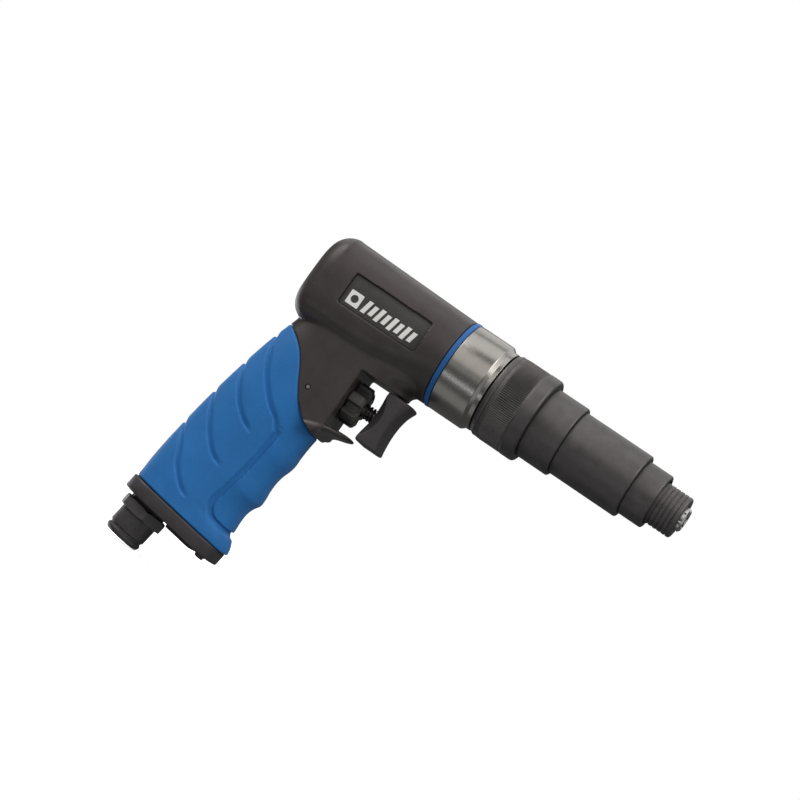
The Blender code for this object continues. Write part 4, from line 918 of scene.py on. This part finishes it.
# ---- trigger and reverse dial
def make_trigger():
    # Height, rear face and front face of the lever.
    rows = [(-0.0138, -0.0178, -0.0053), (-0.0120, -0.0180, -0.0057), (-0.0080, -0.0180, -0.0063),
            (-0.0040, -0.0176, -0.0067), (0.0, -0.0173, -0.0067), (0.0040, -0.0171, -0.0063),
            (0.0080, -0.0170, -0.0053), (0.0105, -0.0169, -0.0042), (0.0122, -0.0169, -0.0034),
            (0.0133, -0.0168, -0.0035)]
    backs = [(z, back) for z, back, _ in rows]
    fronts = [(z, front) for z, _, front in rows]
    widest, crease, corner = 0.0110, -0.0097, 0.0010
    rings = []
    for z in np.linspace(rows[0][0], rows[-1][0], 90):
        from_end = min(z - rows[0][0], rows[-1][0] - z)
        drawn_in = corner * (1 - math.sqrt(1 - max(0.0, 1 - from_end / corner) ** 2))
        back, front = smoothly(backs, z) + drawn_in, smoothly(fronts, z) - drawn_in
        half = widest - drawn_in
        right = [(back, -half), (crease - 0.004, -half), (crease, -half)]
        for a in quarter(14)[1:]:
            right.append((crease + (front - crease) * math.sin(a) ** 0.9, -half * math.cos(a) ** 0.75))
        plan = right + [(x, -y) for x, y in reversed(right[:-1])]
        rings.append([(x, y, z) for x, y in plan])
    body = loft("trigger_body", rings)
    scoop_outline = [(0.0060, 0), (0.0060, 0.0128), (0.0112, 0.0172), (0.020, 0.0172), (0.020, 0)]
    for side in (-1, 1):
        scoop = turned("scoop", scoop_outline, "Z", 128)
        turn = Matrix.Rotation(side * math.pi / 2, 4, "X")
        cut(body, moved(scoop, Matrix.Translation((-0.0302, 0, 0)) @ turn))
    cut(body, rod("stem_socket", -0.030, -0.0105, 0.0026, "X", 40))
    softened(body, 0.00024, 5)
    piece(body, "trigger_lever", "trigger_body", PLASTIC, ["trigger"], 60, TRIGGER_AXIS)


def coil(name, start, end, radius, wire, turns, steps=28):
    """A compression spring along X with closed, flattened end turns."""
    rings, wire_r, count = [], wire / 2, int(turns * steps)
    for i in range(count + 1):
        share = i / count
        rise = ease(share) * 0.25 + share * 0.75
        a = 2 * math.pi * turns * share
        outwards = Vector((0, math.cos(a), math.sin(a)))
        middle = Vector((start + wire_r + (end - start - wire) * rise, 0, 0)) + outwards * radius
        rings.append([tuple(middle + Vector((wire_r * math.cos(b), 0, 0)) + outwards * (wire_r * math.sin(b)))
                      for b in angles(14)])
    return loft(name, rings)


def spring_piece(name, node, span, coil_size, axis, body, look):
    """A spring standing for a CAD node."""
    slot, material = look
    spring = piece(coil(name, *span, *coil_size), name, body, material, [node], 60, axis)
    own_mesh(spring)


def make_springs():
    bright = ("bright_steel", BRIGHT)
    dark = ("seal_rubber", SMOOTH_PLASTIC)
    seat, lever = DIAL_FRONT + 0.0008, -0.0176
    spring_piece("trigger_return_spring", "trigger_spring", (seat, lever), (0.0031, 0.0011, 3.3),
                 TRIGGER_AXIS, "tool_body", dark)
    rear, front = -0.0748, -0.0664
    spring_piece("throttle_return_spring", "throttle_spring", (rear, front), (0.0034, 0.0008, 4.5),
                 TRIGGER_AXIS, "tool_body", bright)
    # The torque spring is pressed from both ends; it is drawn as two halves in line.
    nut, middle, cam = 0.0343, 0.0529, 0.0715
    half_coil = (0.0090, 0.0020, 4)
    spring_piece("torque_spring_rear", "clutch_spring", (nut, middle), half_coil,
                 TOOL, "tool_body", bright)
    spring_piece("torque_spring_front", "clutch_spring", (middle, cam), half_coil,
                 TOOL, "tool_body", bright)
    rear, front = 0.1085, 0.1152
    spring_piece("sleeve_return_spring", "chuck_spring", (rear, front), (0.0068, 0.0007, 4.5),
                 TOOL, "output_spindle", bright)


def dial_ring(station, shrink, lobes=6):
    """One section of the lobed dial, drawn in by shrink."""
    first = math.radians(180.0 - 13.0)
    ring = []
    for a in angles(240):
        notch = 0.0030 * ease((0.20 - math.cos(lobes * (a - first))) / 0.55)
        radius = DIAL_R - shrink - notch
        ring.append((station, radius * math.cos(a), radius * math.sin(a)))
    return ring


def make_reverse():
    rear, hub_r = HANDLE_FACE_X + GAP, 0.00385
    dial = loft("dial", [dial_ring(station, shrink) for station, shrink in (
        (rear, 0.0004), (rear + 0.0004, 0.0), (DIAL_FRONT - 0.0007, 0.0), (DIAL_FRONT - 0.0002, 0.0003),
        (DIAL_FRONT, 0.0008))])
    # The face ring is painted lighter than the lobes: painted light on the dial's face.
    face = loft("face", [dial_ring(DIAL_FRONT - 0.0004, 0.0012), dial_ring(DIAL_FRONT + 0.0002, 0.0012),
                         dial_ring(DIAL_FRONT + 0.0004, 0.0015)])
    cut(face, rod("face_middle", -0.040, -0.0200, STEM_BORE_R, "X", 72))
    piece(face, "reverse_dial_painted_light_face", "reverse_valve", PAINTED_LIGHT_FACE_PLASTIC, [], 34, TRIGGER_AXIS)
    cut(dial, rod("hub_space", -0.040, -0.0200, STEM_BORE_R, "X", 72))
    softened(dial, 0.0002, 3)
    piece(dial, "reverse_dial_lobes", "reverse_valve", DIAL_PLASTIC, ["reverse_dial"], 60,
          TRIGGER_AXIS)
    hub_front, socket_end = DIAL_FRONT - 0.0003, -0.0270
    hub = turned("hub", [
        (rear, 0.0025), (rear, hub_r, 0.0003), (hub_front, hub_r, 0.0003),
        (hub_front, 0.0031, 0.0002), (socket_end, 0.0030), (socket_end, 0.0025)], facets=96)
    for a in angles(10, 0.5):
        tooth = rod("tooth", -0.0265, -0.0230, 0.0006, "X", 16)
        cut(hub, shifted(tooth, 0.0, STEM_BORE_R * math.cos(a), STEM_BORE_R * math.sin(a)))
    piece(hub, "reverse_dial_hub", "reverse_valve", SMOOTH_PLASTIC, [], 34, TRIGGER_AXIS)
    end, step, edge_r, pin_r, round_off = 0.0176, 0.0172, 0.0008, 0.00125, 0.0003
    pin = turned("pin", [(-end, 0), (-end, edge_r, round_off), (-step, pin_r, round_off),
                         (step, pin_r, round_off), (end, edge_r, round_off), (end, 0)], "Z", 48)
    piece(pin, "valve_cross_pin", "tool_body", PIN_STEEL, ["valve_pin"], 34,
          TOOL @ PIN_AT)


# ---- turned pieces of the front
def knurled_collar():
    """The adjusting collar: a plain rear band, a straight-knurled band and a plain band rounding off in
    front."""
    ridges, samples, knurl_rings = 132, 8, 24
    knurl_start, knurl_end, depth = 0.0265, 0.0388, 0.00045
    start, end, front_r, band_r, lip, recess = 0.0223, 0.0459, 0.0215, 0.0212, 0.0170, 0.0186
    rear = filleted([
        (start, lip), (start, 0.0205, 0.0002), (0.0233, 0.0207, 0.0003), (0.0237, band_r, 0.0003),
        (0.0249, band_r, 0.0001), (0.0251, 0.0210), (0.0253, band_r, 0.0001), (0.0264, 0.0213),
        (0.0264, lip)])[1:-1]
    front = filleted([
        (0.0390, lip), (0.0390, front_r, 0.0002), (end, front_r, 0.0016), (end, 0.0171, 0.0004),
        (0.0420, lip)])[1:]
    inner = [(0.0420, recess), (0.0296, recess), (0.0296, lip), (start, lip)]
    sections = [(station, radius, 0.0) for station, radius in rear]
    for k in range(knurl_rings + 1):
        share = k / knurl_rings
        fade = ease(share * 14) * ease((1 - share) * 14)
        station = knurl_start + (knurl_end - knurl_start) * share
        sections.append((station, band_r + 0.0002 * fade, depth * fade))
    sections += [(station, radius, 0.0) for station, radius in front + inner]
    rings = []
    for station, radius, sink in sections:
        points = []
        for i, a in enumerate(angles(ridges * samples)):
            hollow = sink * (0.5 - 0.5 * math.cos(2 * math.pi * i / samples)) ** 0.8
            points.append((station, (radius - hollow) * math.cos(a), (radius - hollow) * math.sin(a)))
        rings.append(points)
    rings.append(rings[0])
    return loft("collar", rings, closed_ends=False)


GASKET_OUTLINE = [(-0.0027, 0.0205), (-0.0027, 0.0221, 0.0002), (-0.0022, 0.0225, 0.0004),
                  (-0.0008, 0.0225, 0.0004), (-0.0003, 0.0221, 0.0002), (-0.0003, 0.0205)]
STEEL_OUTLINE = [
    (-0.0054, 0.0168), (-0.0054, 0.0183), (0, 0.0183), (0, 0.0223, 0.0003), (0.0174, 0.0223, 0.0014),
    (0.0194, 0.0206, 0.0006), (0.0215, 0.0206, 0.0003), (0.0215, 0.0165), (0.0186, 0.0165), (0.0186, 0.0202),
    (0.0012, 0.0202), (0.0012, 0.0168)]
CASE_OUTLINE = [
    (0.0195, 0.0125), (0.0195, 0.0162, 0.0003), (0.0223, 0.0162), (0.0223, 0.0168), (0.0462, 0.0168),
    (0.0462, 0.0180, 0.0002), (0.0627, 0.0180, 0.0010), (0.0627, 0.0152, 0.0002),
    (0.0560, 0.0152), (0.0560, 0.0140), (0.0282, 0.0140), (0.0282, 0.0125)]
NOSE_OUTLINE = [
    (0.0563, 0.0125), (0.0563, 0.0149), (0.0630, 0.0149), (0.0630, 0.0162, 0.0002), (0.0990, 0.0162, 0.0010),
    (0.0990, 0.0128, 0.0002), (0.0859, 0.0128), (0.0859, 0.0125)]
CAP_OUTLINE = [
    (0.0863, 0.0100), (0.0863, 0.0125), (0.0993, 0.0125), (0.0993, 0.0138, 0.0002), (0.1116, 0.0138, 0.0010),
    (0.1116, 0.0119, 0.0002), (0.1017, 0.0119), (0.1017, 0.0100)]


def make_front():
    gasket = turned("gasket", GASKET_OUTLINE, facets=FINE_FACETS)
    piece(gasket, "gasket_ring_blue", "tool_body", GASKET, ["gasket_ring"], 40, TOOL)
    steel = turned("steel", STEEL_OUTLINE, facets=FINE_FACETS)
    piece(steel, "clutch_housing_steel", "tool_body", STEEL, ["clutch_housing"])
    case = turned("case", CASE_OUTLINE, facets=FINE_FACETS)
    for a in angles(3):
        slot = block("lug_slot", (0.0300, 0.0120, -0.0030), (0.0390, 0.0180, 0.0030))
        cut(case, moved(slot, Matrix.Rotation(a, 4, "X")))
    piece(case, "clutch_case_tube", "tool_body", OXIDE, ["clutch_case"])
    piece(knurled_collar(), "adjusting_collar_knurled", "torque_collar", OXIDE,
          ["adjusting_collar"])
    sleeve = turned("nose", NOSE_OUTLINE, facets=FINE_FACETS)
    piece(sleeve, "nose_sleeve_tube", "tool_body", OXIDE, ["nose_sleeve"])
    cap = turned("cap", CAP_OUTLINE, facets=160)
    piece(cap, "nose_cap_tube", "tool_body", OXIDE, ["nose_cap"])


def make_chuck():
    start, end, radius, sink = 0.1082, 0.1248, 0.0105, 0.00045
    outline = [(start, 0.0076), (start, radius - 0.0005, 0.0002), (start + 0.0007, radius, 0.0002)]
    for station in (0.1132, 0.1155, 0.1178, 0.1201, 0.1224):
        outline += [(station - 0.00038, radius, 0.00010), (station - 0.00020, radius - sink, 0.00006),
                    (station + 0.00020, radius - sink, 0.00006), (station + 0.00038, radius, 0.00010)]
    outline += [(end, radius, 0.0011), (end, 0.0062, 0.0003), (0.1155, 0.0062), (0.1155, 0.0076)]
    chuck = turned("chuck", outline, facets=160, steps=4)
    piece(chuck, "chuck_sleeve_grooved", "bit_chuck", OXIDE, ["chuck_sleeve"])


def make_spindle():
    rear, flange_end, flange_r, tip, shank = 0.0768, 0.0850, 0.0115, 0.1270, 0.0060
    spindle = turned("spindle_body", [
        (rear, 0), (rear, flange_r, 0.0003), (flange_end, flange_r, 0.0003), (flange_end, shank),
        (tip - 0.0008, shank, 0.0002), (tip, shank - 0.0008, 0.0002), (tip, 0)], facets=128)
    cut(spindle, rod("shaft_space", 0.070, 0.0800, 0.0053, "X", 64))
    reach, half = 0.014, math.radians(32)
    for a in angles(3, 0.5):
        wedge = [(0.0, 0.0), (reach * math.cos(a - half), reach * math.sin(a - half)),
                 (1.2 * reach * math.cos(a), 1.2 * reach * math.sin(a)),
                 (reach * math.cos(a + half), reach * math.sin(a + half))]
        cut(spindle, loft("jaw_space", [[(x, y, z) for y, z in wedge] for x in (0.0750, 0.0790)]))
    socket = hexagon(0.00650 / math.sqrt(3))
    cut(spindle, loft("hex_socket", [[(x, -b, a) for a, b in socket] for x in (tip - 0.026, tip + 0.004)]))
    inside, outside = tip - 0.0006, tip + 0.0004
    cut(spindle,
        turned("mouth", [(inside, 0), (inside, 0.0032), (outside, 0.0042), (outside, 0)], facets=96),
        shifted(rod("ball_hole", 0.0, 0.010, 0.0014), 0.1168))
    piece(spindle, "spindle_shaft", "output_spindle", BRIGHT, ["spindle"])
    # A thin near-black liner on the hex socket's walls, not a CAD part: painted shade where the socket's
    # inside lies in shade.
    corner, wall = 0.00647 / math.sqrt(3), 0.00006
    liner = ((tip - 0.0255, corner), (tip - 0.0007, corner), (tip - 0.0007, corner - wall),
             (tip - 0.0250, corner - wall))
    rings = [[(x, -b, a) for a, b in hexagon(size)] for x, size in liner]
    piece(loft("liner", rings), "bit_socket_painted_shade_liner", "output_spindle", SOCKET_PAINTED_SHADE, [])


# ---- CAD parts that stay in view
KEPT_LOOKS = {
    "throttle_stem": OXIDE, "throttle_seat": BRONZE, "reverse_spool": BRIGHT, "motor_cylinder": LAMINATE,
    "rear_end_plate": BRIGHT, "front_end_plate": BRIGHT, "rear_bearing": BRIGHT, "front_bearing": BRIGHT,
    "rotor": STEEL, "ring_gear": BRIGHT, "stage1_carrier": BRIGHT, "stage2_carrier": BRIGHT,
    "adjusting_nut": BRONZE, "spindle_bearing": BRIGHT, "drive_cam": BRIGHT, "spindle_bushing": BRONZE,
    "spindle_clip": BRIGHT, "retaining_ball": BRIGHT, "exhaust_muffler": FELT, "inlet_screen": BRIGHT,
    "inlet_seal": SEAL,
}


def dress_kept_parts():
    looks = dict(KEPT_LOOKS)
    for k in range(1, 6):
        looks[f"vane_{k}"] = LAMINATE
    for stage in (1, 2):
        for k in range(1, 4):
            looks[f"stage{stage}_planet_{k}"] = BRIGHT
            looks[f"stage{stage}_pin_{k}"] = BRIGHT
    for name, material in looks.items():
        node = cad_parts[name]
        node.data.materials.clear()
        node.data.materials.append(material)


# ---- light, floor and camera
CAMERA_AZIMUTH, CAMERA_ELEVATION, CAMERA_ROLL, CAMERA_DISTANCE = 12.0, -3.0, 34.85, 1.4
WARM, NEUTRAL, COOL = (1.0, 0.975, 0.94), (1.0, 1.0, 1.0), (0.93, 0.96, 1.0)
# Name, azimuth, elevation, distance, height, width, radiance, colour. Azimuth 0 is where the camera stands,
# and 90 beyond the nose.
PANELS = [
    ("front_panel", -12, 29, 1.6, 1.05, 1.8, 0.88, WARM),
    ("level_panel", -20, 1, 1.7, 0.30, 2.2, 0.38, WARM),
    ("overhead_panel", 0, 86, 1.5, 1.1, 3.4, 1.12, NEUTRAL),
    ("rear_top_panel", 180, 48, 1.5, 1.0, 2.4, 0.95, NEUTRAL),
    ("left_key", -76, 38, 1.6, 1.2, 1.2, 3.0, WARM),
    ("right_key", 44, 42, 1.6, 1.0, 1.0, 3.0, WARM),
    ("low_strip", -6, -31, 1.5, 0.18, 2.0, 1.70, COOL),
    ("bounce_panel", 0, -76, 1.4, 0.8, 2.2, 0.30, NEUTRAL),
    ("nose_panel", 67, 2, 1.6, 2.0, 0.8, 0.50, NEUTRAL),
    ("heel_kick", -140, -17, 1.3, 0.9, 0.9, 1.9, COOL),
]


def bearing(azimuth, elevation):
    """The direction from the tool to this azimuth and elevation. Azimuth 0 looks straight at its side."""
    a, e = math.radians(azimuth), math.radians(elevation)
    return Vector((math.sin(a) * math.cos(e), -math.cos(a) * math.cos(e), math.sin(e)))


def area_light(name, at, height, width, radiance, color):
    """A soft panel facing the tool. Its upper edge stays level."""
    light = bpy.data.lights.new(name, "AREA")
    light.shape = "RECTANGLE"
    light.size, light.size_y = width, height
    light.energy = radiance * math.pi * width * height
    light.color = color
    obj = bpy.data.objects.new(name, light)
    bpy.context.scene.collection.objects.link(obj)
    obj.location = at
    obj.rotation_mode = "QUATERNION"
    obj.rotation_quaternion = (-at).to_track_quat("-Z", "Y")
    obj.visible_camera = False


def make_lights():
    for name, azimuth, elevation, distance, height, width, radiance, color in PANELS:
        at = bearing(azimuth + CAMERA_AZIMUTH, elevation) * distance
        area_light(name, at, height, width, radiance, color)


def make_backdrop():
    """A white world for the camera, which lights the tool only faintly."""
    scene = bpy.context.scene
    scene.view_settings.view_transform = "Standard"
    world = bpy.data.worlds.new("studio")
    scene.world = world
    world.use_nodes = True
    nodes, link = world.node_tree.nodes, world.node_tree.links
    backdrop = nodes["Background"]
    backdrop.inputs["Color"].default_value = (1.0, 1.0, 1.0, 1.0)
    backdrop.inputs["Strength"].default_value = 1.0
    fill = nodes.new("ShaderNodeBackground")
    fill.inputs["Color"].default_value = (0.96, 0.97, 1.0, 1.0)
    fill.inputs["Strength"].default_value = 0.11
    rays = nodes.new("ShaderNodeLightPath")
    mix = nodes.new("ShaderNodeMixShader")
    link.new(rays.outputs["Is Camera Ray"], mix.inputs["Fac"])
    link.new(fill.outputs["Background"], mix.inputs[1])
    link.new(backdrop.outputs["Background"], mix.inputs[2])
    link.new(mix.outputs["Shader"], nodes["World Output"].inputs["Surface"])


def make_floor():
    """A plain pale floor with a sun of its own, just below the tool."""
    low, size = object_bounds()[0].z - 0.0005, 30
    corners = [(-size, -size, low), (size, -size, low), (size, size, low), (-size, size, low)]
    floor = mesh_object("floor", corners, [(0, 1, 2, 3)])
    look = Look("pale_floor", 0.0, 0.1)
    shade = look.ramp(look.noise(look.place(), 30), (0.88, 0.88, 0.88), (0.90, 0.90, 0.90), 0.3, 0.7)
    floor.data.materials.append(look.finish(shade, 0.9))
    floor.visible_glossy = False
    floor.visible_diffuse = False
    floor.visible_shadow = False
    floor_only = bpy.data.collections.new("floor_only")
    floor_only.objects.link(floor)
    sun = bpy.data.lights.new("floor_light", "SUN")
    sun.energy = 3.6
    sun.angle = math.radians(80.0)
    sun.use_shadow = False
    above = bpy.data.objects.new("floor_light", sun)
    bpy.context.scene.collection.objects.link(above)
    above.light_linking.receiver_collection = floor_only


def make_camera():
    camera = bpy.data.cameras.new("camera")
    camera.lens, camera.sensor_width = 137.0, 36.0
    camera.clip_start, camera.clip_end = 0.05, 100.0
    obj = bpy.data.objects.new("camera", camera)
    bpy.context.scene.collection.objects.link(obj)
    back = bearing(CAMERA_AZIMUTH, CAMERA_ELEVATION)
    across = Vector((0, 0, 1)).cross(back).normalized()
    up = back.cross(across)
    turn = Matrix((across, up, back)).transposed().to_4x4()
    turn = turn @ Matrix.Rotation(math.radians(CAMERA_ROLL), 4, "Z")
    obj.matrix_world = Matrix.Translation(Vector((-0.0289, 0.0, 0.03785)) + back * CAMERA_DISTANCE) @ turn
    bpy.context.scene.camera = obj


make_motor_housing()
make_nameplate()
make_grip_sleeve()
make_base()
make_inlet()
make_trigger()
make_reverse()
make_springs()
make_front()
make_chuck()
make_spindle()
dress_kept_parts()
make_backdrop()
make_floor()
make_lights()
make_camera()
